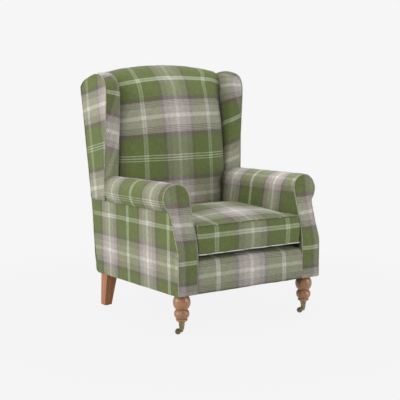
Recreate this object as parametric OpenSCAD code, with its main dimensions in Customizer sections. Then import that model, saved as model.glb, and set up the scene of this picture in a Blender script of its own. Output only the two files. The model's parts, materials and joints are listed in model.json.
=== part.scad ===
// Fireside wing chair in millimetres. An upholstered body with scroll arms, wings and a crowned
// back leans back a little on two turned front legs with cup castors and two tapered back legs.
// The loose box cushion lifts out, and each castor swivels and rolls.
// +X is to the right seen from the front, +Y runs from front to back and +Z is up.
// The origin is on the floor under the middle of the chair.

/* [Body] */
// Clear width between the two arms
seat_w = 536; // [500:2:544]
// Depth of the body along its bottom
body_d = 714; // [690:2:750]
// Height of the body's front bottom edge above the floor
body_z = 170; // [166:1:190]
// Backward tilt of the body in degrees
body_tilt = 2; // [0:0.25:3]
// Thickness of the covered outside panels
panel_t = 12; // [9:1:14]
// Radius of the body's lower back corner
heel_r = 26; // [12:1:32]

/* [Arms] */
// Thickness of an arm from the seat to its outside panel
arm_w = 97; // [94:1:110]
// Height of the top of the arm roll above the body's bottom
arm_h = 446; // [430:2:456]
// Radius of the arm roll
roll_r = 60; // [56:1:64]
// How far the arm roll stands out past the side panel
roll_out = 25; // [18:1:30]
// How far the facing's scroll lies inside the surface of the roll
facing_inset = 4; // [2:0.5:6]
// Thickness of the padded arm facing
facing_t = 20; // [16:1:24]
// Height of the facing's knee
knee_z = 150; // [130:2:180]
// How far the knee stands forward
knee_out = 5; // [0:0.5:7]
// How far the facing leans back from its knee to its top
facing_lean = 60; // [40:2:70]

/* [Back] */
// Rake of the lower back in degrees
lower_rake = 4.6; // [3:0.2:6]
// Rake of the upper back in degrees
upper_rake = 8.3; // [6:0.1:10]
// How far under the middle of the arm roll the back bends
bend_drop = 6; // [3:1:30]
// Height of the crown of the back
back_h = 942; // [920:2:960]
// How far the back's rear top edge lies under its crown
back_rear_drop = 36; // [32:1:48]
// Drop of the crown from its middle to the side panels
arch_drop = 46; // [36:1:50]
// How far the foot of the back's face lies in front of the body's rear
face_in = 184; // [172:1:194]
// How far the crest of the back lies in front of the body's rear at the bottom
crest_in = 7; // [0:1:14]
// How far the back's face stands out in front of its side seams
back_bulge = 80; // [60:1:84]

/* [Wings] */
// Thickness of a wing
wing_t = 78; // [70:1:84]
// How far the wing's outside panel stands past the side panel
wing_out = 3; // [1:0.5:5]
// How far the foot of the wing's front edge lies in front of the body's rear
wing_foot_in = 116; // [104:1:124]
// How far the top of the wing's front edge lies in front of the body's rear
wing_top_in = 144; // [129:1:154]
// Radius of the wing's top front corner
wing_round_r = 42; // [34:1:50]
// How far the wing's crest lies in front of the body's rear
wing_crest_in = 42; // [24:1:50]
// Height of the wing's crest
wing_crest_z = 909; // [904:1:916]
// Height of the wing's rear top corner
wing_rear_z = 863; // [856:1:870]

/* [Seat] */
// Height of the seat platform above the body's bottom
platform_z = 150; // [146:1:156]
// Thickness of the padded seat platform
platform_t = 22; // [18:1:24]
// How far the front border stands forward
border_out = 8; // [4:0.5:12]
// Radius of the front border's top edge
border_r = 18; // [12:1:22]
// Width of the firm edge behind the front rail
edge_w = 28; // [20:1:36]

/* [Cushion] */
// Gap between the cushion and each arm
cushion_side_gap = 6; // [5:0.5:12]
// Distance from the body's front to the cushion's front seam
cushion_y = 2; // [0:0.5:8]
// Gap between the cushion's rear seam and the foot of the back's face
cushion_back_gap = 6; // [5:1:40]
// Height of the cushion's lower seam above the platform
cushion_lift = 10; // [6:0.5:14]
// Height of the cushion's border
cushion_border_h = 117; // [100:1:125]
// Rise of the cushion's crown above its upper seam
cushion_crown = 66; // [50:1:72]
// How far the cushion's sides pull in between its corners
cushion_draw = 6; // [2:0.5:9]
// How far the border swells between its seams
cushion_swell = 4; // [1:0.5:4.5]
// Radius cut off each corner of the cushion
cushion_corner = 14; // [6:1:20]

/* [Frame] */
// Thickness of the rails and side boards
board_t = 25; // [22:1:28]
// Height of the seat rails
rail_h = 95; // [90:1:100]
// Thickness of the front posts
post_t = 22; // [18:1:24]
// Depth of the back posts
post_d = 50; // [44:1:56]
// Thickness of the wing boards
ply_t = 18; // [15:1:20]
// Height of the frame's bottom above the body's bottom
frame_z = 3; // [2:0.5:4]
// Thickness of the dust cover
dust_t = 2; // [1:0.25:2]
// Thickness of the arm boards
arm_board_t = 22; // [18:1:24]
// Width of the arm boards
arm_board_w = 50; // [44:1:52]
// Height of the lower back rail
low_rail_h = 50; // [40:1:60]
// Leg length of a corner block
block_w = 62; // [58:1:70]
// Height of a corner block
block_h = 55; // [48:1:55]
// Width of a corner block's square ends
block_end = 18; // [17:1:22]
// How far the padding of the back covers the top rail
rail_cover = 40; // [34:1:46]

/* [Springs] */
// Number of zigzag springs
spring_count = 5; // [3:1:6]
// Spacing of the springs
spring_step = 100; // [70:5:104]
// Width of a spring
spring_w = 50; // [40:1:60]
// Diameter of the spring wire
wire_d = 3.8; // [3:0.1:4.2]
// Number of cross bars in a spring
spring_bars = 18; // [16:2:20]
// Thickness of a spring clip
clip_t = 1.2; // [1:0.1:1.6]
// Width of a spring clip
clip_w = 16; // [12:1:20]
// Length of a spring clip
clip_l = 18; // [16:1:20]
// Number of back straps
strap_count = 6; // [4:1:7]
// Width of a back strap
strap_w = 50; // [40:1:60]
// Thickness of a back strap
strap_t = 2; // [1:0.25:2.5]

/* [Front legs] */
// Distance from the side panel to the front leg's axis
leg_in_x = 47; // [45:0.5:49]
// Distance from the body's front to the front leg's axis
leg_in_y = 48; // [47.5:0.5:56]
// Radius of the upper ball
ball_r = 36.5; // [34:0.5:38]
// Radius of the lower ball
low_ball_r = 32; // [29:0.5:34]
// Radius of the ring
ring_r = 24.5; // [23.5:0.5:27]
// Radius of the collar above the upper ball
collar_r = 28; // [24:0.5:30]
// Radius of the groove under the upper ball
groove_r = 24.5; // [22:0.5:26]
// Radius of the groove under the lower ball
low_groove_r = 20.5; // [18:0.5:22]
// Height of the top of the upper ball
ball_top_z = 164.5; // [160:0.5:165]
// Height of the groove under the upper ball
groove_z = 106.5; // [100:0.5:112]
// Height of the groove under the lower ball
low_groove_z = 67; // [65:0.5:72]
// Height of the lower edge of the ring
ring_z = 57; // [55:0.5:60]

/* [Back legs] */
// Distance from the side panel to the middle of the back leg's top
back_leg_in_x = 33; // [30:0.5:36]
// Distance from the body's rear to the middle of the back leg's top
back_leg_in_y = 67; // [60:1:79]
// Width of the back leg's top
back_leg_w = 55; // [50:1:60]
// Width of the back leg's foot
back_foot_w = 36; // [30:1:42]
// How far the foot stands outward of the leg's top
splay_x = 16; // [4:1:18]
// How far the foot stands behind the leg's top
splay_y = 5; // [0:1:10]
// Thickness of the glide under the foot
glide_t = 3; // [2:0.5:5]
// Radius of the glide
glide_r = 12; // [8:0.5:14]
// Radius of the glide's nail
nail_r = 1.6; // [1:0.1:2]
// Length of the glide's nail
nail_l = 14; // [8:1:20]
// Radius of the leg bolts
bolt_r = 4; // [3:0.25:4.5]
// Length of a leg bolt in the leg and in the frame
bolt_l = 42; // [30:1:46]
// Distance from the side rail to the back leg bolt
back_bolt_x = 14; // [12:0.5:16]
// Distance from the back rail to the back leg bolt
back_bolt_y = 20; // [16:0.5:24]

/* [Castors] */
// Radius of the cup's rim
cup_rim_r = 13; // [12:0.25:14]
// Radius of the cup's foot
cup_foot_r = 10; // [9.5:0.25:11]
// Height of the cup's rim
cup_rim_z = 50; // [48:0.5:52]
// Height of the cup's foot
cup_foot_z = 27; // [26.75:0.25:29]
// Wall of the cup
cup_wall = 1.5; // [1:0.1:2]
// Thickness of the cup's base
cup_base = 4; // [3:0.25:5]
// Radius of the wheel
wheel_r = 12.5; // [11.5:0.25:12.75]
// Width of the wheel
wheel_w = 8; // [7:0.25:9]
// Distance from the swivel's axis to the axle
trail = 15.5; // [15:0.25:18]
// Thickness of a horn cheek
cheek_t = 2.2; // [1.5:0.1:3]
// Radius of the axle
axle_r = 2; // [1.5:0.1:2.5]
// Radius of the horn's boss round the axle
boss_r = 5.5; // [5:0.25:7]
// Radius of the pintle
pintle_r = 3; // [2.5:0.1:3.5]
// Length of the pintle above the cup's foot
pintle_l = 17; // [12:0.5:18]
// Radius of the pintle's collar
pintle_head_r = 5; // [4.5:0.25:5.5]
// Thickness of the pintle's collar
pintle_head_t = 1.5; // [1:0.25:2]
// Direction in which the castors trail, from +X towards +Y, in degrees
castor_angle = 150; // [0:5:355]

/* [Clearances] */
// Radial clearance of a running fit
run_gap = 0.05; // [0.02:0.01:0.09]
// End clearance of the pintle and the wheel
end_gap = 0.3; // [0.2:0.05:0.5]
// Gap under the horn's thrust face
thrust_gap = 0.1; // [0.05:0.05:0.2]
// Gap round the wheel in its horn
wheel_gap = 1; // [0.6:0.1:1.4]
// Gap between padding and what it rests against
rest_gap = 0.3; // [0.2:0.05:0.5]
// Gap round a spring's wire in its clip
clip_gap = 0.2; // [0.1:0.05:0.4]
// Gap round a leg where it passes the dust cover
leg_gap = 1; // [0.5:0.25:2]

/* [Hidden] */

// Colours of the materials
plaid_green = [0.42, 0.50, 0.28];
plaid_olive = [0.50, 0.52, 0.40];
plaid_mauve = [0.58, 0.52, 0.50];
wood = [0.72, 0.50, 0.36];
pine = [0.84, 0.72, 0.52];
old_brass = [0.44, 0.43, 0.30];
steel = [0.62, 0.63, 0.65];
black_cloth = [0.09, 0.09, 0.09];
web_brown = [0.45, 0.36, 0.25];

// Smoothness of the true circles, and segments of the curved outlines
$fn = 64;
curve_steps = 14;
// Overrun of every cut past the surface that it opens
over = 60;

arm_in = seat_w / 2;
body_half = arm_in + arm_w;
back_rear_h = back_h - back_rear_drop;
face_y = body_d - face_in;
crest_y = body_d - crest_in;
wing_foot_y = body_d - wing_foot_in;
wing_top_y = body_d - wing_top_in;
wing_crest_y = body_d - wing_crest_in;
back_leg_y = body_d - back_leg_in_y;
cushion_d = face_y - cushion_y - cushion_back_gap;
roll_x = body_half + roll_out - roll_r;
roll_z = arm_h - roll_r;
facing_r = roll_r - facing_inset;
facing_top = roll_z + facing_r;
bend_z = roll_z - bend_drop;
// Height at which the roll meets the side panel
roll_seam_z = roll_z - sqrt(roll_r * roll_r - pow(body_half - roll_x, 2));
panel_in = body_half - panel_t;
rail_in = panel_in - board_t;
rail_top = frame_z + rail_h;
front_rail_y = facing_t;
front_rail_back = facing_t + post_t;
// Inner side of the front posts
post_in = rail_in - (block_w - block_end) / 2 - board_t;
wing_in = body_half + wing_out - wing_t;
// Height at which the arm pads begin above the corner blocks
pad_low_z = frame_z + block_h;
// Depths measured forward from the back's outer face
post_back = panel_t;
post_front = panel_t + post_d;
web_front = post_front + strap_t;
rail_back = post_front - board_t;

// Outer face of the back at a height
function back_y(z) = body_d + min(z, bend_z) * tan(lower_rake)
    + max(z - bend_z, 0) * tan(upper_rake);
// Smooth step from 0 to 1
function smooth(s) = s * s * (3 - 2 * s);
// Front face of the arm facing at a height
function facing_y(z) = z < knee_z ? -knee_out * z / knee_z
    : facing_lean * smooth(min(1, (z - knee_z) / (facing_top - knee_z))) - knee_out;
function facing_line(offset) = [for (i = [0 : curve_steps])
    let (z = facing_top * i / curve_steps) [facing_y(z) + offset, z]];
function reversed(list) = [for (i = [len(list) - 1 : -1 : 0]) list[i]];
// Points on an arc between two angles
function arc(centre, r, from, to, steps) = [for (i = [0 : steps])
    let (a = from + (to - from) * i / steps) centre + r * [cos(a), sin(a)]];
// Line parallel to the back's outer face, from one height up to another
function back_line(depth, low, high) = concat(
    [[back_y(low) - depth, low]],
    low < bend_z && high > bend_z ? [[back_y(bend_z) - depth, bend_z]] : [],
    [[back_y(high) - depth, high]]);
// Height of the crown's arch below its middle at a distance from it
function arch_fall(x) = arch_drop * pow(abs(x) / body_half, arch_power);

// Place of the body: its foremost and rearmost points lie as far from the origin
front_reach = (frame_z + border_r) * sin(body_tilt) - border_out * cos(body_tilt);
back_reach = back_y(back_rear_h) * cos(body_tilt) + back_rear_h * sin(body_tilt);
front_y = -(front_reach + back_reach) / 2;
// Height of the frame's tilted underside above the floor at a distance from the body's front
function underside_z(y) = body_z + (frame_z - y * sin(body_tilt)) / cos(body_tilt);

leg_x = body_half - leg_in_x;
back_leg_x = body_half - back_leg_in_x;
bolt_x = rail_in - back_bolt_x;
bolt_y = (back_y(frame_z) - post_front - back_bolt_y) * cos(body_tilt);
hub_w = wheel_w + 2 * wheel_gap;
slot_w = hub_w + 2 * end_gap;
horn_w = slot_w + 2 * cheek_t;
axle_z = wheel_r;
axle_head_r = axle_r + cheek_t / 2;
axle_head_t = cheek_t / 2;
pocket_r = pintle_head_r + wheel_gap;

module on_left() {
    mirror([1, 0, 0]) children();
}

module tilted() {
    translate([0, front_y, body_z]) rotate([-body_tilt, 0, 0]) children();
}

// A flat outline drawn in Y and Z, made as wide as the stretch of X
module along_x(from, to) {
    translate([from, 0, 0]) rotate([90, 0, 90]) linear_extrude(to - from) children();
}

// A flat outline drawn in X and Z, made as deep as the stretch of Y
module along_y(from, to) {
    translate([0, to, 0]) rotate([90, 0, 0]) linear_extrude(to - from) children();
}

// A layer of the back between two depths and two heights
module back_layer(from, to, low, high) {
    polygon(concat(back_line(to, low, high), reversed(back_line(from, low, high))));
}

// Front outline of an arm: the upright part and its scroll
module arm_outline(scroll_r) {
    translate([roll_x, roll_z]) circle(scroll_r);
    translate([arm_in, 0]) square([body_half - arm_in, roll_z]);
}

// The space that an arm's padding fills, seen from the front
module arm_section() {
    translate([roll_x, roll_z]) circle(roll_r);
    translate([arm_in, pad_low_z]) square([rail_in - arm_in, roll_z - pad_low_z]);
}

// The space behind the arm facing, seen from the side
module behind_facing(to_depth) {
    polygon(concat(facing_line(facing_t), [[facing_y(facing_top) + facing_t, arm_h]],
        reversed(back_line(to_depth, 0, arm_h))));
}

// Scroll of the arm over the whole depth, for cutting what seats on it
module arm_space() {
    along_y(0, body_d + body_d) arm_section();
}

// Side outline of a wing down to a height
module wing_outline(low, inset, rear_depth) {
    front = wing_foot_y + inset;
    top = wing_top_y + inset;
    crest = [wing_crest_y, wing_crest_z - inset];
    rear_z = wing_rear_z - inset;
    corner = [top + wing_round_r, crest.y - wing_round_r - wing_round_r / 2];
    polygon(concat(
        [[front, low], [front, arm_h]],
        arc(corner, wing_round_r, 180, 100, 6),
        arc(crest - [0, wing_round_r * 2], wing_round_r * 2, 105, 80, 4),
        [[back_y(rear_z) - rear_depth, rear_z]],
        low < bend_z ? [[back_y(bend_z) - rear_depth, bend_z]] : [],
        [[back_y(low) - rear_depth, low]]));
}

// Turned bead between two heights, with a groove radius at its edges
module bead(low, high, groove, widest) {
    half = (high - low) / 2;
    rise = widest - groove;
    r = (half * half + rise * rise) / (2 * rise);
    intersection() {
        translate([widest - r, low + half]) circle(r);
        translate([0, low]) square([widest, 2 * half]);
    }
}

module front_rail() {
    color(pine) tilted() along_x(-post_in, post_in)
        translate([front_rail_y, frame_z]) square([post_t, rail_h]);
}

module rear_rail() {
    color(pine) tilted() along_x(-rail_in, rail_in)
        back_layer(rail_back, post_front, frame_z, rail_top);
}

module side_rail() {
    color(pine) tilted() along_x(rail_in, panel_in) polygon([
        [front_rail_back, frame_z], [front_rail_back, rail_top],
        [back_y(rail_top) - post_front, rail_top], [back_y(frame_z) - post_front, frame_z]]);
}

// The post follows the curve of the facing and carries the arm's scroll
module front_post_solid() {
    intersection() {
        along_x(post_in, body_half) polygon(concat(facing_line(facing_t),
            reversed(facing_line(facing_t + post_t))));
        along_y(0, body_d) union() {
            translate([post_in, frame_z]) square([panel_in - post_in, roll_z - frame_z]);
            intersection() {
                translate([roll_x, roll_z]) circle(facing_r - panel_t);
                translate([post_in, roll_z]) square([body_half - post_in, roll_r]);
            }
        }
    }
}

module front_post() {
    color(pine) tilted() front_post_solid();
}

module back_post_solid() {
    along_x(rail_in, panel_in)
        back_layer(post_back, post_front, frame_z, wing_rear_z - rail_cover / 2);
}

module back_post() {
    color(pine) tilted() back_post_solid();
}

module back_top_rail_solid() {
    low = wing_rear_z - rail_cover - 2 * board_t;
    intersection() {
        along_x(-rail_in, rail_in) back_layer(rail_back, post_front, low, back_h);
        along_y(0, body_d + body_d) polygon(concat(
            [[rail_in, low], [-rail_in, low]],
            [for (i = [0 : curve_steps]) let (x = rail_in * (2 * i / curve_steps - 1))
                [x, back_h - rail_cover - arch_fall(x)]]));
    }
}

module back_top_rail() {
    color(pine) tilted() back_top_rail_solid();
}

module back_lower_rail() {
    color(pine) tilted() along_x(-rail_in, rail_in)
        back_layer(rail_back, post_front, platform_z, platform_z + low_rail_h);
}

module arm_board_solid() {
    low = roll_seam_z + wing_out;
    front = facing_t + post_t + rest_gap;
    along_x(panel_in - arm_board_w, panel_in - wing_out) polygon([
        [facing_y(low) + front, low], [facing_y(low + arm_board_t) + front, low + arm_board_t],
        [back_y(low + arm_board_t) - post_front, low + arm_board_t],
        [back_y(low) - post_front, low]]);
}

module arm_board() {
    color(pine) tilted() difference() {
        arm_board_solid();
        back_webbing_solid();
    }
}

module wing_board_solid() {
    low = roll_seam_z + wing_out + arm_board_t;
    along_x(panel_in - ply_t, panel_in) wing_outline(low, board_t, post_front);
}

module wing_board() {
    color(pine) tilted() wing_board_solid();
}

module corner_block() {
    linear_extrude(block_h) polygon([[0, 0], [block_w, 0], [block_w, block_end],
        [block_end, block_w], [0, block_w]]);
}

module front_bolt() {
    translate([leg_x, front_y + leg_in_y, underside_z(leg_in_y) - bolt_l])
        cylinder(h = 2 * bolt_l, r = bolt_r);
}

module back_bolt() {
    translate([bolt_x, front_y + bolt_y, underside_z(bolt_y) - bolt_l])
        cylinder(h = 2 * bolt_l, r = bolt_r);
}

module corner_pair() {
    difference() {
        tilted() translate([rail_in, front_rail_back, frame_z]) rotate([0, 0, 90])
            corner_block();
        front_bolt();
    }
    difference() {
        tilted() intersection() {
            translate([rail_in, back_y(frame_z) - post_front, frame_z])
                rotate([0, 0, 180]) corner_block();
            cube([body_half, body_d, pad_low_z]);
        }
        back_bolt();
    }
}

module corner_blocks() {
    color(pine) {
        corner_pair();
        on_left() corner_pair();
    }
}

wire_r = wire_d / 2;
wire_end_z = rail_top + clip_t + clip_gap + wire_r;
spring_front = front_rail_back - clip_l / 2;
spring_back = back_y(rail_top) - post_front + clip_l / 2;
spring_rise = platform_z - platform_t - rest_gap - wire_r - wire_end_z;
// Place of each cross bar along the spring's bow
function bar(i) = let (s = i / (spring_bars - 1))
    [spring_front + s * (spring_back - spring_front), wire_end_z + spring_rise * sin(180 * s)];

// Points of the bend that joins bars i and i + 1, each with the wire's direction there
function bend(i) = let (
        a = bar(i),
        b = bar(i + 1),
        side = i % 2 == 0 ? 1 : -1,
        reach = norm(b - a) / 2,
        mid = (a + b) / 2,
        half = (b - a) / 2)
    [for (angle = [-90 : 60 : 90]) [
        [side * (spring_w / 2 - reach + reach * cos(angle)),
            mid.x + half.x * sin(angle), mid.y + half.y * sin(angle)],
        [-side * sin(angle), half.x / reach * cos(angle), half.y / reach * cos(angle)]]];
wire_sides = 6;
module zigzag_spring() {
    last = spring_bars - 1;
    end_side = last % 2 == 0 ? 1 : -1;
    path = concat(
        [[[-spring_w / 2, bar(0).x, bar(0).y], [1, 0, 0]]],
        [for (i = [0 : last - 1]) each bend(i)],
        [[[end_side * spring_w / 2, bar(last).x, bar(last).y], [end_side, 0, 0]]]);
    points = [for (stop = path) let (p = stop[0], along = stop[1] / norm(stop[1]),
        across = cross(along, [0, 0, 1]) / norm(cross(along, [0, 0, 1])),
        up = cross(across, along))
        for (k = [0 : wire_sides - 1]) let (a = 360 * k / wire_sides)
            p + wire_r * (cos(a) * across + sin(a) * up)];
    rings = len(path);
    sides = [for (r = [0 : rings - 2], k = [0 : wire_sides - 1])
        let (a = r * wire_sides + k, b = r * wire_sides + (k + 1) % wire_sides)
            each [[a, a + wire_sides, b], [b, a + wire_sides, b + wire_sides]]];
    polyhedron(points, concat(sides,
        [[for (k = [0 : wire_sides - 1]) k]],
        [[for (k = [wire_sides - 1 : -1 : 0]) (rings - 1) * wire_sides + k]]), convexity = 20);
}

module at_springs() {
    for (i = [0 : spring_count - 1])
        translate([(i - (spring_count - 1) / 2) * spring_step, 0, 0]) children();
}

module seat_springs() {
    color(steel) tilted() at_springs() zigzag_spring();
}

// Clip screwed to a rail, curled over the straight end of a spring
module spring_clip(y) {
    translate([-(spring_w + clip_w) / 4, y, 0]) difference() {
        union() {
            translate([0, -clip_l / 2, rail_top]) cube([clip_w, clip_l, clip_t]);
            translate([0, 0, wire_end_z]) rotate([0, 90, 0])
                cylinder(h = clip_w, r = wire_r + clip_gap + clip_t);
        }
        translate([-over, 0, wire_end_z]) rotate([0, 90, 0])
            cylinder(h = clip_w + 2 * over, r = wire_r + clip_gap);
        translate([-over, -clip_l, rail_top - clip_l]) cube([clip_w + 2 * over, 2 * clip_l, clip_l]);
    }
}

module spring_clips() {
    color(steel) tilted() at_springs() {
        spring_clip(spring_front);
        spring_clip(spring_back);
    }
}

module back_webbing_solid() {
    low = platform_z + low_rail_h + strap_w / 2;
    high = wing_rear_z - rail_cover - 2 * board_t - strap_w / 2;
    edge = panel_in - ply_t;
    intersection() {
        along_x(-edge, edge) back_layer(post_front, web_front, 0, back_h);
        for (i = [0 : strap_count - 1])
            translate([-body_half, 0, low + (high - low) * i / (strap_count - 1) - strap_w / 2])
                cube([2 * body_half, 2 * body_d, strap_w]);
    }
}

module back_webbing() {
    color(web_brown) tilted() back_webbing_solid();
}

module seat_platform() {
    low = platform_z - platform_t;
    y = front_rail_back + edge_w;
    color(web_brown) tilted() along_x(-arm_in, arm_in) polygon([
        [y, low], [y, platform_z],
        [back_y(platform_z) - post_front, platform_z], [back_y(low) - post_front, low]]);
}

// Padded cover of the front rail, rolled over the firm edge
module front_border() {
    y = front_rail_back + edge_w;
    color(plaid_mauve) tilted() along_x(-arm_in, arm_in) polygon(concat(
        [[0, 0], [-border_out, frame_z + border_r]],
        arc([border_r - border_out, platform_z - border_r], border_r, 180, 90, curve_steps / 2),
        [[y, platform_z], [y, platform_z - platform_t],
         [front_rail_back - clip_l, platform_z - platform_t],
         [front_rail_back - clip_l, rail_top],
         [front_rail_y, rail_top], [front_rail_y, 0]]));
}

// The back's face from the arm roll up over the crest: height, depth, bulge and arch, as shares
// of the height above the platform, the depth from face to crest, the bulge and the arch's drop
back_face_shares = [
    [0, 0, 1, 0], [0.38, 0.04, 0.9, 0], [0.5, 0.06, 0.9, 0],
    [0.6, 0.09, 0.92, 0], [0.715, 0.155, 0.95, 0], [0.78, 0.22, 0.94, 0.05],
    [0.83, 0.29, 0.92, 0.1], [0.889, 0.435, 0.64, 0.4], [0.941, 0.6, 0.3, 0.62],
    [0.975, 0.74, 0.1, 0.85], [0.993, 0.87, 0.02, 0.97], [1, 1, 0, 1], [0.987, 1.25, 0, 1]];
back_columns = 16;
bulge_power = 4;
arch_power = 2.2;
back_rise = back_h - platform_z;
// Heights and half widths of the back where it passes between the arms and over their rolls
roll_clear_r = roll_r / cos(10);
roll_end = acos((roll_x - wing_in) / roll_clear_r);
low_rows = concat(
    [for (z = [platform_z, bend_z, roll_z]) [z, arm_in]],
    [for (share = [1 / 3, 2 / 3, 1]) [roll_z + roll_clear_r * sin(roll_end * share),
        roll_x - roll_clear_r * cos(roll_end * share)]]);
top_low_z = low_rows[len(low_rows) - 1][0];
// Depth and bulge of the back's face at a height
function face_depth(z) = face_y + (crest_y - face_y)
    * lookup((z - platform_z) / back_rise, [for (s = back_face_shares) [s[0], s[1]]]);
function face_bulge(z) = back_bulge
    * lookup((z - platform_z) / back_rise, [for (s = back_face_shares) [s[0], s[2]]]);

// Padding of the back, open underneath its crest where it seats on the top rail
module inside_back() {
    rail_z = back_h - rail_cover + rest_gap;
    rear = web_front + rest_gap;
    fall = arch_fall(wing_in);
    low = len(low_rows);
    lean = tan(upper_rake);
    // Each stop of the loop: depth, height, bulge, fall, half width, and lean against the rear
    loop = concat(
        [for (r = low_rows) [face_depth(r[0]), r[0], face_bulge(r[0]), 0, r[1], 0]],
        [for (s = back_face_shares) if (platform_z + s[0] * back_rise > top_low_z)
            [face_y + s[1] * (crest_y - face_y), platform_z + s[0] * back_rise,
                s[2] * back_bulge, s[3] * fall, wing_in, 0]],
        [[back_y(back_rear_h) - panel_t, back_rear_h, 0, fall, wing_in, lean],
         [back_y(rail_z) - panel_t, rail_z, 0, fall, wing_in, lean],
         [back_y(rail_z) - rear, rail_z, 0, fall, wing_in, lean]],
        [for (i = [low - 1 : -1 : 0]) [back_y(low_rows[i][0]) - rear,
            low_rows[i][0], 0, 0, low_rows[i][1], 0]]);
    rows = len(loop);
    last = back_columns * rows;
    points = [for (c = [0 : back_columns]) let (u = 2 * c / back_columns - 1)
        for (p = loop) let (drop = p[3] * pow(abs(u), arch_power))
            [p[4] * u, p[0] + p[2] * pow(abs(u), bulge_power) - p[5] * drop, p[1] - drop]];
    sides = [for (c = [0 : back_columns - 1], k = [0 : rows - 1])
        let (a = c * rows + k, b = c * rows + (k + 1) % rows)
            each [[a, b, a + rows], [b, b + rows, a + rows]]];
    // The ends: one flat face over the wings, and a strip for each row between the arms
    ends = concat(
        [[for (k = [rows - low : -1 : low - 1]) k],
         [for (k = [low - 1 : rows - low]) last + k]],
        [for (k = [0 : low - 2]) each [
            [k + 1, k, rows - 1 - k, rows - 2 - k],
            [last + k, last + k + 1, last + rows - 2 - k, last + rows - 1 - k]]]);
    color(plaid_green) tilted() polyhedron(points, concat(sides, ends), convexity = 8);
}

module outside_back() {
    color(plaid_green) tilted() intersection() {
        along_x(-body_half, body_half) polygon(concat(
            [[body_d - panel_t, 0]],
            [[back_y(bend_z) - panel_t, bend_z]],
            [[back_y(back_rear_h) - panel_t, back_rear_h], [back_y(back_rear_h), back_rear_h]],
            [[back_y(bend_z), bend_z], [back_y(heel_r), heel_r]],
            [[back_y(0) - heel_r / 4, heel_r / 4]]));
        along_y(0, 2 * body_d) polygon(concat(
            [[body_half, 0], [body_half, wing_rear_z - heel_r],
             [body_half - heel_r / 4, back_rear_h - arch_drop - heel_r / 4]],
            [for (i = [0 : curve_steps])
                let (x = (body_half - heel_r) * (1 - 2 * i / curve_steps))
                    [x, back_rear_h - arch_fall(x)]],
            [[heel_r / 4 - body_half, back_rear_h - arch_drop - heel_r / 4],
             [-body_half, wing_rear_z - heel_r], [-body_half, 0]]));
    }
}

module wing() {
    color(plaid_mauve) tilted() difference() {
        along_x(wing_in, panel_in) wing_outline(roll_z, 0, panel_t);
        arm_space();
        back_post_solid();
        wing_board_solid();
        back_top_rail_solid();
        back_webbing_solid();
    }
}

module outside_wing() {
    color(plaid_olive) tilted() along_x(panel_in, body_half + wing_out)
        wing_outline(roll_seam_z, 0, panel_t);
}

module arm_pad() {
    color(plaid_olive) tilted() difference() {
        intersection() {
            along_x(arm_in, roll_x + roll_r) behind_facing(post_front);
            along_y(0, 2 * body_d) arm_section();
        }
        front_post_solid();
        arm_board_solid();
        wing_board_solid();
        back_webbing_solid();
        translate([panel_in, wing_foot_y, 0]) cube([body_half, body_d, arm_h]);
        along_x(-post_in, post_in) translate([0, frame_z]) square([front_rail_back, rail_h]);
    }
}

module arm_facing() {
    color(plaid_green) tilted() intersection() {
        along_x(arm_in, body_half + roll_out) polygon(concat(facing_line(0),
            reversed(facing_line(facing_t))));
        along_y(-knee_out, body_d) arm_outline(facing_r);
    }
}

module outside_arm() {
    color(plaid_green) tilted() difference() {
        along_x(panel_in, body_half) polygon(concat(
            [for (p = facing_line(facing_t)) if (p.y < roll_seam_z) p],
            [[facing_y(roll_seam_z) + facing_t, roll_seam_z]],
            reversed(back_line(panel_t, heel_r, roll_seam_z)),
            [[back_y(0) - panel_t, 0]]));
        along_y(0, wing_foot_y) translate([roll_x, roll_z]) circle(roll_r);
    }
}

module dust_cover() {
    low = frame_z - dust_t;
    color(black_cloth) difference() {
        tilted() translate([-panel_in, front_rail_y, low])
            cube([2 * panel_in, body_d - panel_t - front_rail_y, dust_t]);
        for (side = [-1, 1]) {
            translate([side * leg_x, front_y + leg_in_y, body_z - over])
                cylinder(h = 2 * over, r = collar_r + leg_gap);
            translate([side * back_leg_x - back_leg_w / 2 - leg_gap,
                front_y + back_leg_y - back_leg_w / 2 - leg_gap, body_z - over])
                cube([back_leg_w + 2 * leg_gap, back_leg_w + 2 * leg_gap, 2 * over]);
        }
    }
}

module frame_space() {
    tilted() translate([-2 * body_half, -over, frame_z]) cube([4 * body_half, 2 * body_d, over]);
}

// Inner radius of the castor's cup at a height
function cup_in(z) = cup_foot_r - cup_wall
    + (cup_rim_r - cup_foot_r) * (z - cup_foot_z) / (cup_rim_z - cup_foot_z);

module front_leg() {
    base_z = cup_foot_z + cup_base;
    color(wood) difference() {
        translate([leg_x, front_y + leg_in_y, 0]) rotate_extrude() difference() {
            union() {
                translate([0, groove_z]) square([collar_r, body_z + frame_z - groove_z]);
                bead(groove_z, ball_top_z, groove_r, ball_r);
                bead(low_groove_z, groove_z, low_groove_r, low_ball_r);
                bead(ring_z, low_groove_z, low_groove_r, ring_r);
                polygon([[0, cup_rim_z], [cup_rim_r, cup_rim_z],
                    [low_groove_r, ring_z], [0, ring_z]]);
                polygon([[0, base_z], [cup_in(base_z), base_z],
                    [cup_in(cup_rim_z), cup_rim_z], [0, cup_rim_z]]);
            }
            square([pocket_r, cup_foot_z + pintle_l + end_gap]);
            groove_cut();
        }
        frame_space();
        front_bolt();
    }
}

// Clears the collar's square corner beside the upper ball
module groove_cut() {
    difference() {
        translate([0, groove_z]) square([collar_r, ball_top_z - groove_z]);
        bead(groove_z, ball_top_z, groove_r, ball_r);
        square([groove_r, ball_top_z]);
    }
}

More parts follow.
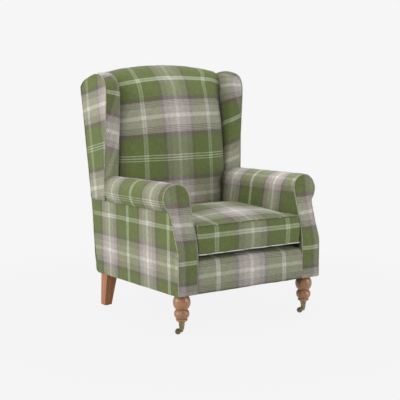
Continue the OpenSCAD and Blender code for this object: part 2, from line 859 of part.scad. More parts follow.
// Side of the back leg seen square on: its foot, and its top carried on past the frame
module taper(foot, top, high) {
    past = high + over / 2;
    grow = (past - glide_t) / (high - glide_t);
    foot_half = back_foot_w / 2;
    centre = foot + (top - foot) * grow;
    half = foot_half + (back_leg_w / 2 - foot_half) * grow;
    polygon([[foot - foot_half, glide_t], [foot + foot_half, glide_t],
        [centre + half, past], [centre - half, past]]);
}

module rear_leg() {
    high = underside_z(back_leg_y);
    foot_x = back_leg_x + splay_x;
    foot_y = front_y + back_leg_y + splay_y;
    color(wood) difference() {
        intersection() {
            along_y(front_y, front_y + 2 * body_d) taper(foot_x, back_leg_x, high);
            along_x(0, 2 * body_half) taper(foot_y, front_y + back_leg_y, high);
        }
        frame_space();
        tilted() translate([panel_in, 0, 0]) cube([panel_t, body_d, over]);
        back_bolt();
        translate([foot_x, foot_y, 0]) cylinder(h = glide_t + nail_l, r = nail_r);
    }
}

module leg_bolts() {
    color(steel) {
        front_bolt();
        back_bolt();
        on_left() front_bolt();
        on_left() back_bolt();
    }
}

module rear_glides() {
    color(black_cloth) for (side = [-1, 1])
        translate([side * (back_leg_x + splay_x), front_y + back_leg_y + splay_y, 0]) {
            cylinder(h = glide_t, r = glide_r);
            cylinder(h = glide_t + nail_l, r = nail_r);
        }
}

module castor_cup() {
    base_z = cup_foot_z + cup_base;
    color(old_brass) translate([leg_x, front_y + leg_in_y, 0]) rotate_extrude() polygon([
        [pintle_r + run_gap, cup_foot_z], [cup_foot_r, cup_foot_z], [cup_rim_r, cup_rim_z],
        [cup_in(cup_rim_z), cup_rim_z], [cup_in(base_z), base_z],
        [pintle_r + run_gap, base_z]]);
}

module at_castor(side) {
    translate([side * leg_x, front_y + leg_in_y, 0]) rotate([0, 0, castor_angle]) children();
}

// Swivelling horn: thrust disc, neck with its heel, two cheeks and the pintle
module castor_horn(side) {
    top = cup_foot_z - thrust_gap;
    head_z = cup_foot_z + cup_base + end_gap;
    heel_z = axle_z;
    neck = cup_foot_r - cheek_t;
    color(old_brass) at_castor(side) difference() {
        union() {
            translate([0, 0, top - cup_base]) cylinder(h = cup_base, r = cup_foot_r);
            along_y(-horn_w / 2, horn_w / 2) polygon([
                [-neck, top - cup_base], [-neck, top - cup_base / 2], [neck, top - cup_base / 2],
                [trail + boss_r * cos(45), axle_z + boss_r * sin(45)],
                [trail, axle_z - boss_r], [cheek_t, heel_z - cheek_t / 2],
                [-cheek_t, heel_z - cheek_t / 2], [-boss_r, heel_z + boss_r / 2]]);
            translate([trail, horn_w / 2, axle_z]) rotate([90, 0, 0])
                cylinder(h = horn_w, r = boss_r);
            cylinder_between(top - cup_base, cup_foot_z + pintle_l, pintle_r);
            cylinder_between(head_z, head_z + pintle_head_t, pintle_head_r);
        }
        translate([trail, slot_w / 2, axle_z]) rotate([90, 0, 0])
            cylinder(h = slot_w, r = wheel_r + wheel_gap);
        translate([trail, horn_w, axle_z]) rotate([90, 0, 0])
            cylinder(h = 2 * horn_w, r = axle_r);
    }
}

module cylinder_between(low, high, r) {
    translate([0, 0, low]) cylinder(h = high - low, r = r);
}

module castor_axle(side) {
    color(steel) at_castor(side) translate([trail, 0, axle_z]) rotate([90, 0, 0]) {
        cylinder(h = horn_w, r = axle_r, center = true);
        for (end = [-1, 1])
            translate([0, 0, end * (horn_w + axle_head_t) / 2])
                cylinder(h = axle_head_t, r = axle_head_r, center = true);
    }
}

module castor_wheel(side) {
    bore = axle_r + run_gap;
    hub_r = boss_r - wheel_gap;
    half = wheel_w / 2;
    dish = half - cheek_t / 2;
    round = wheel_r - cheek_t;
    color(old_brass) at_castor(side) translate([trail, 0, axle_z]) rotate([90, 0, 0])
        rotate_extrude() polygon([
            [bore, -hub_w / 2], [hub_r, -hub_w / 2], [hub_r, -dish], [round - cheek_t, -dish],
            [round - cheek_t / 2, -half], [round, -half], [wheel_r, -half / 2],
            [wheel_r, half / 2], [round, half], [round - cheek_t / 2, half],
            [round - cheek_t, dish], [hub_r, dish], [hub_r, hub_w / 2], [bore, hub_w / 2]]);
}

// Loose box cushion: crowned top, sides drawn in between the corners, border swelling between
// its seams and an underside that lies flat on the platform
cushion_columns = 16;
cushion_rows = 14;
crest_share = 0.57;
cushion_half_w = arm_in - cushion_side_gap;
low_seam_z = platform_z + cushion_lift;
high_seam_z = low_seam_z + cushion_border_h;

// Plan of the cushion grown by a swell
function cushion_xy(u, v, grow) = let (
        nip = cushion_corner * pow(abs(u * v), 10),
        half_d = cushion_d / 2,
        x = cushion_half_w + grow - cushion_draw * (1 - v * v) - nip,
        y = half_d + grow - cushion_draw * (1 - u * u) - nip)
    [u * x, cushion_y + half_d + v * y];
function crown(u, v) = let (
        s = (v + 1) / 2,
        t = s < crest_share ? 1 - s / crest_share : (s - crest_share) / (1 - crest_share))
    cushion_crown * (1 - pow(abs(u), 2.6)) * (1 - pow(t, s < crest_share ? 1.4 : 2));
function belly(u, v) = (cushion_lift - rest_gap)
    * min(1, 1.15 * (1 - pow(abs(u), 6)) * (1 - pow(abs(v), 6)));
function with_z(p, z) = [p.x, p.y, z];

module seat_cushion() {
    across = cushion_columns + 1;
    sheet = across * (cushion_rows + 1);
    grid = [for (r = [0 : cushion_rows], c = [0 : cushion_columns])
        [2 * c / cushion_columns - 1, 2 * r / cushion_rows - 1]];
    rim = concat(
        [for (c = [0 : cushion_columns - 1]) c],
        [for (r = [0 : cushion_rows - 1]) r * across + cushion_columns],
        [for (c = [0 : cushion_columns - 1]) cushion_rows * across + cushion_columns - c],
        [for (r = [0 : cushion_rows - 1]) (cushion_rows - r) * across]);
    n = len(rim);
    top = [for (g = grid) with_z(cushion_xy(g.x, g.y, 0), high_seam_z + crown(g.x, g.y))];
    bottom = [for (g = grid) with_z(cushion_xy(g.x, g.y, 0), low_seam_z - belly(g.x, g.y))];
    swells = [for (share = [0.75, 0.5, 0.25], k = rim)
        with_z(cushion_xy(grid[k].x, grid[k].y, cushion_swell * sin(180 * share)),
            low_seam_z + share * cushion_border_h)];
    bands = 3;
    first = 2 * sheet;
    // Point k of ring i, counted from the upper seam down to the lower one
    ring = [for (i = [0 : bands + 1]) [for (k = [0 : n - 1])
        i == 0 ? rim[k] : i == bands + 1 ? sheet + rim[k] : first + (i - 1) * n + k]];
    top_faces = [for (r = [0 : cushion_rows - 1], c = [0 : cushion_columns - 1])
        let (a = r * across + c, b = a + across)
            each [[a, b, b + 1], [a, b + 1, a + 1]]];
    bottom_faces = [for (f = top_faces) [f[0] + sheet, f[2] + sheet, f[1] + sheet]];
    border = [for (i = [0 : bands], k = [0 : n - 1]) let (m = (k + 1) % n)
        each [[ring[i][k], ring[i][m], ring[i + 1][m]],
            [ring[i][k], ring[i + 1][m], ring[i + 1][k]]]];
    color(plaid_green) tilted()
        polyhedron(concat(top, bottom, swells), concat(top_faces, bottom_faces, border));
}

front_rail();
rear_rail();
on_left() side_rail();  // left_side_rail
side_rail();  // right_side_rail
on_left() front_post();  // left_front_post
front_post();  // right_front_post
on_left() back_post();  // left_back_post
back_post();  // right_back_post
back_top_rail();
back_lower_rail();
on_left() arm_board();  // left_arm_board
arm_board();  // right_arm_board
on_left() wing_board();  // left_wing_board
wing_board();  // right_wing_board
corner_blocks();
seat_springs();
spring_clips();
back_webbing();
seat_platform();
front_border();
inside_back();
outside_back();
on_left() wing();  // left_wing
wing();  // right_wing
on_left() outside_wing();  // left_outside_wing
outside_wing();  // right_outside_wing
on_left() arm_pad();  // left_arm_pad
arm_pad();  // right_arm_pad
on_left() arm_facing();  // left_arm_facing
arm_facing();  // right_arm_facing
on_left() outside_arm();  // left_outside_arm
outside_arm();  // right_outside_arm
dust_cover();
on_left() front_leg();  // left_front_leg
front_leg();  // right_front_leg
on_left() rear_leg();  // left_rear_leg
rear_leg();  // right_rear_leg
leg_bolts();
rear_glides();
on_left() castor_cup();  // left_castor_cup
castor_cup();  // right_castor_cup
seat_cushion();
castor_horn(-1);  // left_castor_horn
castor_horn(1);  // right_castor_horn
castor_axle(-1);  // left_castor_axle
castor_axle(1);  // right_castor_axle
castor_wheel(-1);  // left_castor_wheel
castor_wheel(1);  // right_castor_wheel
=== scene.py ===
# Looks of the fireside wing chair: plaid upholstery, piping, turned oak legs and aged brass castors.
# Covers are shaped on the upright body in millimetres, then leaned back into the shared frame.
import math
import bmesh
import bpy
import numpy as np
from mathutils import Matrix, Vector
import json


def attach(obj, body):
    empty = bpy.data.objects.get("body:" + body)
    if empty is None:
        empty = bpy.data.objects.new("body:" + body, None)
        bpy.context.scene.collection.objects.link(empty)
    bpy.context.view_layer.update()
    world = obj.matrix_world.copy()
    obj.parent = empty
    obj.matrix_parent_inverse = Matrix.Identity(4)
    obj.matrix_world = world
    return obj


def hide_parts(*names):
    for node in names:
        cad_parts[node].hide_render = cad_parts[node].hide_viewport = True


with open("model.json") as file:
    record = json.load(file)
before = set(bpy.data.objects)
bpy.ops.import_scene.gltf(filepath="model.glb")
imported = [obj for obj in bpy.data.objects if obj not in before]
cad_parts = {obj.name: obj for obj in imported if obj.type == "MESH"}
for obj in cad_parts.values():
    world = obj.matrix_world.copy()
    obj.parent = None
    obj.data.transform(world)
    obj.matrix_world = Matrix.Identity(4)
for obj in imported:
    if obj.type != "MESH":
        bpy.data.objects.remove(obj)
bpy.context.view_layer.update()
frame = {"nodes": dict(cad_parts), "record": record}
scene = bpy.context.scene
nodes = frame["nodes"]

MM = 0.001
# The body's own axes: x across, y from front to back, z up. It leans back by TILT, and its front
# bottom edge lies at FRONT_Y and BODY_Z in the shared frame
TILT = math.radians(2.0)
FRONT_Y, BODY_Z = -422.583, 170.0
HALF_W, BODY_D = 365.0, 714.0
BEND_Z, LOWER_RAKE, UPPER_RAKE = 380.0, math.radians(4.6), math.radians(8.3)
SEAT_Z, CREST_Z, FACE_FOOT_Y, CREST_Y = 150.0, 942.0, 530.0, 707.0
ARCH_DROP, FACE_ARCH, ARCH_POWER = 46.0, 27.7, 2.2     # of the whole crest, and of its face
KNEE_Z, KNEE_OUT, FACING_TOP, FACING_LEAN = 150.0, 5.0, 442.0, 60.0
ROLL_X, ROLL_Z, ROLL_R = 330.0, 388.0, 61.0
# Outlines of an arm's facing and of the arm behind it: radius of the scroll, outer and inner side
FACING_SIDES, ARM_SIDES = (60.0, 362.5, 270.5), (ROLL_R, 365.0, 268.2)
SEAM_LOW, SEAM_HIGH = 160.0, 277.0                     # seams of the cushion's border
SEAT_HALF = 267.0                                      # half the clear width between the arms
PIPING_R, CUSHION_PIPING_R = 2.1, 2.3
# The plaid mirrors itself every half sett
HALF_SETT = 180.0


def smooth(s):
    """From 0 to 1 without corners, and level outside."""
    s = np.clip(s, 0, 1)
    return s * s * (3 - 2 * s)


def eased(value, start, end):
    """Smoothly from 0 where the value is start to 1 where it is end."""
    return smooth((value - start) / (end - start))


def bell(value, middle, width):
    return np.exp(-((value - middle) / width) ** 2)


def swell(share, power):
    """A rounded rise and fall as the share goes from 0 to 1."""
    return np.sin(np.pi * np.clip(share, 0, 1)) ** power


def points(*axes):
    """Points from their coordinates axis by axis, each spread over the others."""
    return np.stack(np.broadcast_arrays(*axes), -1)


def to_frame(p):
    """Body millimetres to the shared frame in metres."""
    x, y, z = np.moveaxis(p, -1, 0)
    c, s = math.cos(TILT), math.sin(TILT)
    return points(x, FRONT_Y + y * c + z * s, BODY_Z - y * s + z * c) * MM


def back_y(z):
    """Rear plane of the frame, which leans back more above the arms."""
    return (BODY_D + np.minimum(z, BEND_Z) * math.tan(LOWER_RAKE)
            + np.maximum(z - BEND_Z, 0) * math.tan(UPPER_RAKE))


def rear_y(z):
    """The outside back and the rear ends of the side panels stand a little proud of the frame."""
    return back_y(z) + 8.0


def facing_y(z):
    """Front of an arm: forward up to its knee, then back to the top of the scroll."""
    return np.where(z < KNEE_Z, -KNEE_OUT * z / KNEE_Z,
                    FACING_LEAN * eased(z, KNEE_Z, FACING_TOP) - KNEE_OUT)


def waves(p, length, seed, count=16):
    """Smooth seeded noise of about -1 to 1 with bumps of about the given length."""
    rng = np.random.default_rng(seed)
    k = rng.normal(size=(count, 3))
    k *= (2 * np.pi / length) * rng.uniform(0.5, 1.4, (count, 1)) / np.linalg.norm(k, axis=1)[:, None]
    phase = rng.uniform(0, 2 * np.pi, count)
    return np.sin(p @ k.T + phase).sum(-1) / math.sqrt(count)


def arc_length(p):
    return np.concatenate([[0], np.cumsum(np.linalg.norm(np.diff(p, axis=0), axis=1))])


def resample(p, count):
    """The same line as evenly spaced points."""
    s = arc_length(p)
    at = np.linspace(0, s[-1], count)
    return np.stack([np.interp(at, s, column) for column in p.T], 1)


def spline(controls, count, steps=24):
    """A smooth curve through control points, as evenly spaced points."""
    p = np.asarray(controls, float)
    ends = np.vstack([2 * p[0] - p[1], p, 2 * p[-1] - p[-2]])
    t = np.linspace(0, 1, steps, endpoint=False)[:, None]
    out = []
    for a, b, c, d in zip(ends, ends[1:], ends[2:], ends[3:]):
        out.append(0.5 * (2 * b + (c - a) * t + (2 * a - 5 * b + 4 * c - d) * t ** 2
                          + (3 * b - a - 3 * c + d) * t ** 3))
    return resample(np.vstack(out + [p[-1:]]), count)


class Shell:
    """Panels of quads, each point with its place on the cloth in millimetres."""

    def __init__(self, name, turned=0.0):
        self.name, self.points, self.faces, self.cloth, self.count = name, [], [], [], 0
        self.turned = turned      # the cloth's third value: how much less its crosswise yarns show

    def panel(self, p, cloth, flip=False):
        n, m = p.shape[:2]
        index = np.arange(n * m).reshape(n, m) + self.count
        quads = np.stack([index[:-1, :-1], index[:-1, 1:], index[1:, 1:], index[1:, :-1]], -1)
        self.faces.append(quads.reshape(-1, 4)[:, ::-1 if flip else 1])
        self.points.append(p.reshape(-1, 3))
        self.cloth.append(cloth.reshape(-1, 2))
        self.count += n * m

    def hem(self, edge, away, cloth, beyond, flip=False, after=False, axis=0):
        """A strip turned in along an edge, with the cloth at the edge and beyond it. It comes before
        the edge's row or after it, or along axis 1 beside the edge's column."""
        step = -1 if after else 1
        self.panel(np.stack([edge + away, edge][::step], axis), np.stack([beyond, cloth][::step], axis), flip)

    def tube(self, path, radius, seed, closed=False, start=0.0, sides=10):
        """A round cord along a path, wrapped in cloth cut on the bias."""
        if closed:
            ahead, behind = np.roll(path, -1, 0), np.roll(path, 1, 0)
        else:
            ahead, behind = np.vstack([path[1:], path[-1:]]), np.vstack([path[:1], path[:-1]])
        tangent = ahead - behind
        tangent /= np.linalg.norm(tangent, axis=1)[:, None] + 1e-12
        upright = abs(tangent[:, 2]).mean() >= 0.8
        side = np.cross(tangent, (0.2, -0.97, 0.1) if upright else (0.13, -0.31, 0.94))
        side /= np.linalg.norm(side, axis=1)[:, None]
        up = np.cross(side, tangent)
        angle = np.linspace(0, 2 * np.pi, sides + 1)[:, None]
        r = radius * (1 + 0.05 * waves(path, 31, seed + 5))[:, None, None]
        p = path[:, None] + r * (np.cos(angle) * side[:, None] + np.sin(angle) * up[:, None])
        bias = 0.7071
        s, around = arc_length(path)[:, None], angle[:, 0] * radius
        cloth = points(start + (s + around) * bias, start * 1.7 + (s - around) * bias)
        if closed:
            p = np.concatenate([p, p[:1]])
            cloth = np.concatenate([cloth, cloth[-1:] + (cloth[-1:] - cloth[-2:-1])])
        self.panel(p, cloth)
        if not closed:
            for end in (0, -1):
                middle = np.broadcast_to(p[end][:-1].mean(0), p[end].shape)
                self.panel(np.stack([p[end], middle]), np.stack([cloth[end]] * 2), flip=end == 0)
        return self

    def lay(self, low, row, pitch, start, power):
        """Wraps the cord in cloth along one row of the plaid. It lies at low across the sett, and
        once in each pitch at its middle, a pale stripe that is narrower the greater the power."""
        way = self.cloth[0].sum(1) / math.sqrt(2) / pitch * 2 * math.pi + start
        way += 0.9 * np.sin(0.37 * way + start)
        self.cloth[0] = points(low + (HALF_SETT - low) * (0.5 + 0.5 * np.cos(way)) ** power, row)

    def build(self, weld=0.05):
        faces = np.vstack(self.faces)
        mesh = bpy.data.meshes.new(self.name)
        mesh.from_pydata(np.vstack(self.points).tolist(), [], faces.tolist())
        values = np.zeros((faces.size, 3), np.float32)
        values[:, :2] = np.vstack(self.cloth)[faces.ravel()]
        values[:, 2] = self.turned
        mesh.attributes.new("cloth", "FLOAT_VECTOR", "CORNER").data.foreach_set("vector", values.ravel())
        bm = bmesh.new()
        bm.from_mesh(mesh)
        bmesh.ops.remove_doubles(bm, verts=bm.verts, dist=weld)
        bmesh.ops.dissolve_degenerate(bm, dist=0.01, edges=bm.edges)
        for f in bm.faces:
            f.smooth = True
        bm.to_mesh(mesh)
        bm.free()
        return linked(self.name, mesh)


def linked(name, data):
    ob = bpy.data.objects.new(name, data)
    scene.collection.objects.link(ob)
    return ob


def points_of(mesh):
    co = np.empty(len(mesh.vertices) * 3, np.float32)
    mesh.vertices.foreach_get("co", co)
    return co.reshape(-1, 3).astype(float)


def normals_of(mesh):
    no = np.empty(len(mesh.vertices) * 3, np.float32)
    mesh.vertex_normals.foreach_get("vector", no)
    return no.reshape(-1, 3).astype(float)


def set_points(mesh, p):
    mesh.vertices.foreach_set("co", np.asarray(p, np.float32).ravel())
    mesh.update()


def finish(ob, body, material, ripple=0.0, seed=0, replaced=()):
    """Ripples a cover, puts it into the shared frame, gives it its material, hangs it on its body and hides
    the parts it replaces.
    """
    p = points_of(ob.data)
    if ripple:
        height = waves(p, 90, seed) + 0.35 * waves(p, 28, seed + 1)
        p = p + normals_of(ob.data) * (ripple * height)[:, None]
    set_points(ob.data, to_frame(p))
    ob.data.materials.append(material)
    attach(ob, body)
    if replaced:
        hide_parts(*replaced)


def pipe(name, body, path, radius, seed, laid, turned=0.0, **how):
    """Piping along a path on a body; laid is what lay() takes and how is what tube() takes."""
    tube = Shell(name, turned).tube(path, radius, seed, **how)
    tube.lay(*laid)
    finish(tube.build(), body, LIT_PIPING)


def inflate(ob, pinned, frames=20, most=26.0):
    """Blender's Cloth with pressure blows a cover up from its pinned points; gives its new points."""
    before = points_of(ob.data)
    set_points(ob.data, before * MM)
    group = ob.vertex_groups.new(name="seams")
    group.add(np.nonzero(pinned)[0].tolist(), 1.0, "REPLACE")
    mod = ob.modifiers.new("pressure", "CLOTH")
    cloth = mod.settings
    cloth.quality = 6
    cloth.mass = 0.3
    cloth.use_pressure = True
    cloth.uniform_pressure_force = 4.0
    cloth.effector_weights.gravity = 0
    cloth.vertex_group_mass = "seams"
    cloth.tension_stiffness = cloth.compression_stiffness = 12.0
    cloth.shear_stiffness = 6.0
    cloth.bending_stiffness = 0.6
    cloth.air_damping = 2
    for f in range(1, frames + 1):
        scene.frame_set(f)
    blown = ob.evaluated_get(bpy.context.evaluated_depsgraph_get()).to_mesh()
    move = points_of(blown) / MM - before
    ob.modifiers.remove(mod)
    ob.vertex_groups.remove(group)
    scene.frame_set(1)
    far = np.linalg.norm(move, axis=1)
    move *= (most * np.tanh(far / most) / np.maximum(far, 1e-9))[:, None]
    print("inflated", ob.name, "moved up to", round(float(np.linalg.norm(move, axis=1).max()), 1), "mm")
    return before + move


# ---- Materials ----
class Net:
    """A node tree, with short names for the nodes it needs."""

    def __init__(self, owner, output="ShaderNodeOutputMaterial"):
        owner.use_nodes = True
        self.owner, self.tree = owner, owner.node_tree
        self.tree.nodes.clear()
        self.out = self.node(output)

    def node(self, kind, inputs=None, **settings):
        """A node with its settings, and its inputs by name or number: another node's output or a value."""
        node = self.tree.nodes.new(kind)
        for key, value in settings.items():
            setattr(node, key, value)
        for key, value in (inputs or {}).items():
            if isinstance(value, bpy.types.NodeSocket):
                self.tree.links.new(value, node.inputs[key])
            else:
                node.inputs[key].default_value = value
        return node

    def math(self, op, *values, clamp=False):
        inputs = dict(enumerate(values))
        return self.node("ShaderNodeMath", inputs, operation=op, use_clamp=clamp).outputs[0]

    def vector(self, op, *values, out=0):
        return self.node("ShaderNodeVectorMath", dict(enumerate(values)), operation=op).outputs[out]

    def scaled(self, vector, x, y, z):
        return self.vector("MULTIPLY", vector, (x, y, z))

    def parts(self, vector):
        return self.node("ShaderNodeSeparateXYZ", {0: vector}).outputs

    def mix(self, fac, a, b, blend="MIX"):
        return self.node("ShaderNodeMix", {0: fac, 6: a, 7: b}, data_type="RGBA", blend_type=blend).outputs[2]

    def times(self, colour, by):
        return self.mix(1.0, colour, by, "MULTIPLY")

    def ramp(self, fac, stops):
        node = self.node("ShaderNodeValToRGB", {0: fac})
        elements = node.color_ramp.elements
        while len(elements) < len(stops):
            elements.new(1.0)
        for element, (at, colour) in zip(elements, stops):
            element.position = at
            element.color = (*colour, 1) if isinstance(colour, tuple) else (colour, colour, colour, 1)
        return node.outputs[0]

    def noise(self, vector, scale, detail=3.0, rough=0.6, out=0):
        inputs = {"Vector": vector, "Scale": scale, "Detail": detail, "Roughness": rough}
        return self.node("ShaderNodeTexNoise", inputs).outputs[out]

    def bump(self, height, strength, distance):
        inputs = {"Height": height, "Strength": strength, "Distance": distance}
        return self.node("ShaderNodeBump", inputs).outputs[0]

    def place(self):
        return self.node("ShaderNodeTexCoord").outputs["Object"]

    def done(self, output):
        self.tree.links.new(output, self.out.inputs[0])
        return self.owner

    def surface(self, **inputs):
        named = {key.replace("_", " "): value for key, value in inputs.items()}
        return self.done(self.node("ShaderNodeBsdfPrincipled", named).outputs[0])


def material_net(name):
    return Net(bpy.data.materials.new(name))


# The sett from the middle of its pale band to the middle of its green field: where each colour
# ends in millimetres, and the colour. The field's middle has two lines, or three in every other weft
FIELD = (0.130, 0.166, 0.053)
MAUVE = (0.455, 0.414, 0.384)
PALE = (0.70, 0.675, 0.63)
STRIPE = (0.485, 0.53, 0.40)
BETWEEN = (0.32, 0.37, 0.24)
EDGE = (0.135, 0.112, 0.092)
PIN = (0.205, 0.176, 0.160)
SETT = [(0, PALE), (8.5, MAUVE), (43, PIN), (46, MAUVE), (50, PIN), (53, MAUVE), (57, PIN),
        (60, MAUVE), (64, PIN), (67, MAUVE), (70, EDGE), (90, FIELD)]
TWO_LINES = SETT + [(169.5, STRIPE), (177, BETWEEN)]
THREE_LINES = SETT + [(166.5, STRIPE), (170.5, FIELD), (177.5, STRIPE)]
MINGLE = {43: 2.0, 70: 2.5, 90: 4.0}


def soft_stops(sett):
    """Stops of a ramp in which neighbouring yarns mingle a little. Colours are square roots,
    which the weave mixes and squares again."""
    roots = [tuple(math.sqrt(c) for c in colour) for _, colour in sett]
    out = [(0.0, roots[0])]
    for (at, _), before, colour in zip(sett[1:], roots, roots[1:]):
        mingle = MINGLE.get(at, 0.8)
        out += [((at - mingle) / HALF_SETT, before), ((at + mingle) / HALF_SETT, colour)]
    return out


def plaid_material(name, gain):
    """Plaid twill, laid by each cover's own place on the cloth."""
    net = material_net(name)
    cloth = net.node("ShaderNodeAttribute", attribute_name="cloth").outputs["Vector"]
    # The stripes wander by a few millimetres
    wander = net.vector("SUBTRACT", net.noise(cloth, 0.011, 1.0, out=1), (0.5, 0.5, 0.5))
    moved = net.vector("MULTIPLY_ADD", wander, (5, 5, 0), cloth)
    u, v, turned = net.parts(moved)
    across, along = [net.math("DIVIDE", net.math("PINGPONG", way, HALF_SETT), HALF_SETT) for way in (u, v)]
    two, three = soft_stops(TWO_LINES), soft_stops(THREE_LINES)
    warp = net.ramp(across, two)
    other = net.math("GREATER_THAN", net.math("FLOORED_MODULO", v, 4 * HALF_SETT), 2 * HALF_SETT)
    weft = net.mix(other, net.ramp(along, two), net.ramp(along, three))
    # A two and two twill: fine diagonal ribs in which warp or weft lies on top
    pitch = 2.4
    rib = net.math("SINE", net.math("MULTIPLY", net.math("ADD", u, v), math.pi / pitch))
    thread = net.math("SINE", net.math("MULTIPLY", v, 2 * math.pi / pitch))
    weave = net.math("MULTIPLY_ADD", rib, 0.20, net.math("SUBTRACT", 0.635, turned), clamp=True)
    woven = net.node("ShaderNodeGamma", {"Color": net.mix(weave, warp, weft), "Gamma": 2.0}).outputs[0]
    # Uneven dye, long slubs in the yarns and wear over larger patches
    heather = net.noise(net.scaled(moved, 1.0, 0.35, 1.0), 0.42, 2.0, 0.7)
    fleck = net.noise(net.scaled(moved, 0.3, 1.0, 1.0), 0.5, 2.0, 0.7)
    worn = net.noise(cloth, 0.012, 3.0, 0.6)
    warp_slub = net.noise(net.scaled(moved, 0.30, 0.035, 1.0), 1.0, 2.0, 0.6)
    weft_slub = net.noise(net.scaled(moved, 0.035, 0.30, 1.0), 1.0, 2.0, 0.6)
    dye = net.math("MULTIPLY_ADD", net.math("ADD", heather, fleck), 0.30, 0.70 * gain)
    wear = net.math("MULTIPLY_ADD", worn, 0.16, 0.92)
    slubs = net.math("MULTIPLY_ADD", net.math("ADD", warp_slub, weft_slub), 0.60, 0.40)
    tone = net.math("MULTIPLY", net.math("MULTIPLY", dye, wear), slubs)
    fuzz = net.noise(cloth, 1.3, 2.0, 0.6)
    height = net.math("ADD", net.math("MULTIPLY", rib, 0.5), net.math("MULTIPLY", thread, 0.25))
    normal = net.bump(net.math("ADD", height, fuzz), 0.35, 0.0006)
    return net.surface(Base_Color=net.times(woven, tone), Normal=normal,
                       Roughness=net.math("MULTIPLY_ADD", fuzz, 0.16, 0.80),
                       Sheen_Weight=0.16, Sheen_Roughness=0.5, Specular_IOR_Level=0.25)


def wood_material(name, light, dark, coat, scale=1.0):
    """Grain that runs up the piece, with rings, figure and fine pores; scale is how fine it is."""
    net = material_net(name)
    at = net.place()
    figure = net.noise(net.scaled(at, 60 * scale, 60 * scale, 3.4 * scale), 1.0, 4.0, 0.62)
    rings = net.node("ShaderNodeTexWave",
                     {"Vector": net.scaled(at, 26 * scale, 26 * scale, 1.6 * scale), "Scale": 1.0,
                      "Distortion": 5.0, "Detail": 3.0},
                     wave_type="BANDS", bands_direction="DIAGONAL").outputs[1]
    pores = net.noise(net.scaled(at, 900 * scale, 900 * scale, 26 * scale), 1.0, 2.0, 0.5)
    clear = net.ramp(pores, [(0.0, 0.0), (0.36, 0.0), (0.50, 1.0)])
    grain = net.math("MULTIPLY_ADD", rings, 0.30, net.math("MULTIPLY_ADD", figure, 0.5, 0.12), clamp=True)
    mid = tuple(0.5 * (a + b) for a, b in zip(light, dark))
    shade = net.math("MULTIPLY_ADD", net.noise(at, 9.0, 2.0, 0.5), 0.24, 0.88)
    colour = net.times(net.ramp(grain, [(0.2, dark), (0.5, mid), (0.78, light)]), shade)
    colour = net.mix(clear, net.times(colour, (0.62, 0.62, 0.62, 1.0)), colour)
    height = net.math("ADD", net.math("MULTIPLY", clear, 0.6), figure)
    return net.surface(Base_Color=colour, Normal=net.bump(height, 0.12 if coat else 0.3, 0.0006),
                       Roughness=net.math("MULTIPLY_ADD", figure, 0.18, 0.30 if coat else 0.62),
                       Coat_Weight=coat, Coat_Roughness=0.17,
                       Specular_IOR_Level=0.5 if coat > 0.1 else 0.3)


def metal_material(name, light, dark, smoothest, roughest, spots, stretch=(1, 1, 1)):
    """Metal with a patina in spots, so many to a metre, and fine marks stretched along the part."""
    net = material_net(name)
    at = net.place()
    patina = net.ramp(net.noise(at, spots, 4.0, 0.6), [(0.34, dark), (0.62, light)])
    fine = net.noise(net.scaled(at, *stretch), 1400.0, 2.0, 0.6)
    rough = net.math("MULTIPLY_ADD", net.noise(at, spots * 2.3, 3.0, 0.6), roughest - smoothest, smoothest)
    return net.surface(Base_Color=net.times(patina, net.math("MULTIPLY_ADD", fine, 0.3, 0.85)),
                       Metallic=1.0, Roughness=rough, Normal=net.bump(fine, 0.08, 0.0003))


def weave_material(name, light, dark, pitch):
    """A plain coarse weave that follows the place in the frame: hessian, webbing or lining."""
    net = material_net(name)
    at = net.place()
    x, y, z = net.parts(at)
    k = 2 * math.pi / pitch
    wave_x, wave_y = [net.math("SINE", net.math("MULTIPLY", way, k)) for way in (x, net.math("ADD", y, z))]
    over = net.math("MULTIPLY_ADD", net.math("MULTIPLY", wave_x, wave_y), 0.5, 0.5)
    slub = net.noise(at, 260.0, 3.0, 0.7)
    mixed = net.math("MULTIPLY_ADD", over, 0.55, net.math("MULTIPLY", slub, 0.6), clamp=True)
    return net.surface(Base_Color=net.ramp(mixed, [(0.15, dark), (0.85, light)]),
                       Roughness=net.math("MULTIPLY_ADD", slub, 0.15, 0.82),
                       Normal=net.bump(mixed, 0.4, 0.0008), Sheen_Weight=0.05)


def nylon_material(name, light, dark):
    net = material_net(name)
    at = net.place()
    fine = net.noise(at, 900.0, 2.0)
    return net.surface(Base_Color=net.ramp(net.noise(at, 120.0, 3.0), [(0.3, dark), (0.7, light)]),
                       Roughness=net.math("MULTIPLY_ADD", fine, 0.2, 0.4),
                       Normal=net.bump(fine, 0.1, 0.0003))


PLAID = plaid_material("plaid", 1.09)
# The piping's plaid is a touch lighter than the covers': painted highlight, as the cords catch the light
LIT_PIPING = plaid_material("piping_plaid_painted_highlight", 1.10)
OAK = wood_material("oak", (0.52, 0.265, 0.138), (0.34, 0.150, 0.070), 0.36)
# A darker, less glossy copy of the oak: painted shade for the rear legs, which stand in the chair's shadow
OAK_REAR_PAINTED_SHADE = wood_material("oak_rear_painted_shade", (0.54, 0.235, 0.098), (0.34, 0.128, 0.046), 0.06)
PINE = wood_material("sawn_pine", (0.72, 0.53, 0.32), (0.50, 0.33, 0.17), 0.0, 0.7)
BRASS = metal_material("aged_brass", (0.30, 0.27, 0.14), (0.105, 0.10, 0.062), 0.30, 0.62, 90.0)
STEEL = metal_material("steel_wire", (0.60, 0.61, 0.63), (0.42, 0.43, 0.46), 0.25, 0.5, 60.0, (1, 1, 0.1))
DULL = metal_material("dull_steel", (0.20, 0.195, 0.16), (0.09, 0.088, 0.07), 0.4, 0.6, 120.0)
JUTE = weave_material("jute_webbing", (0.46, 0.36, 0.22), (0.25, 0.185, 0.105), 0.0042)
LINING = weave_material("black_lining", (0.030, 0.030, 0.031), (0.012, 0.012, 0.013), 0.0022)
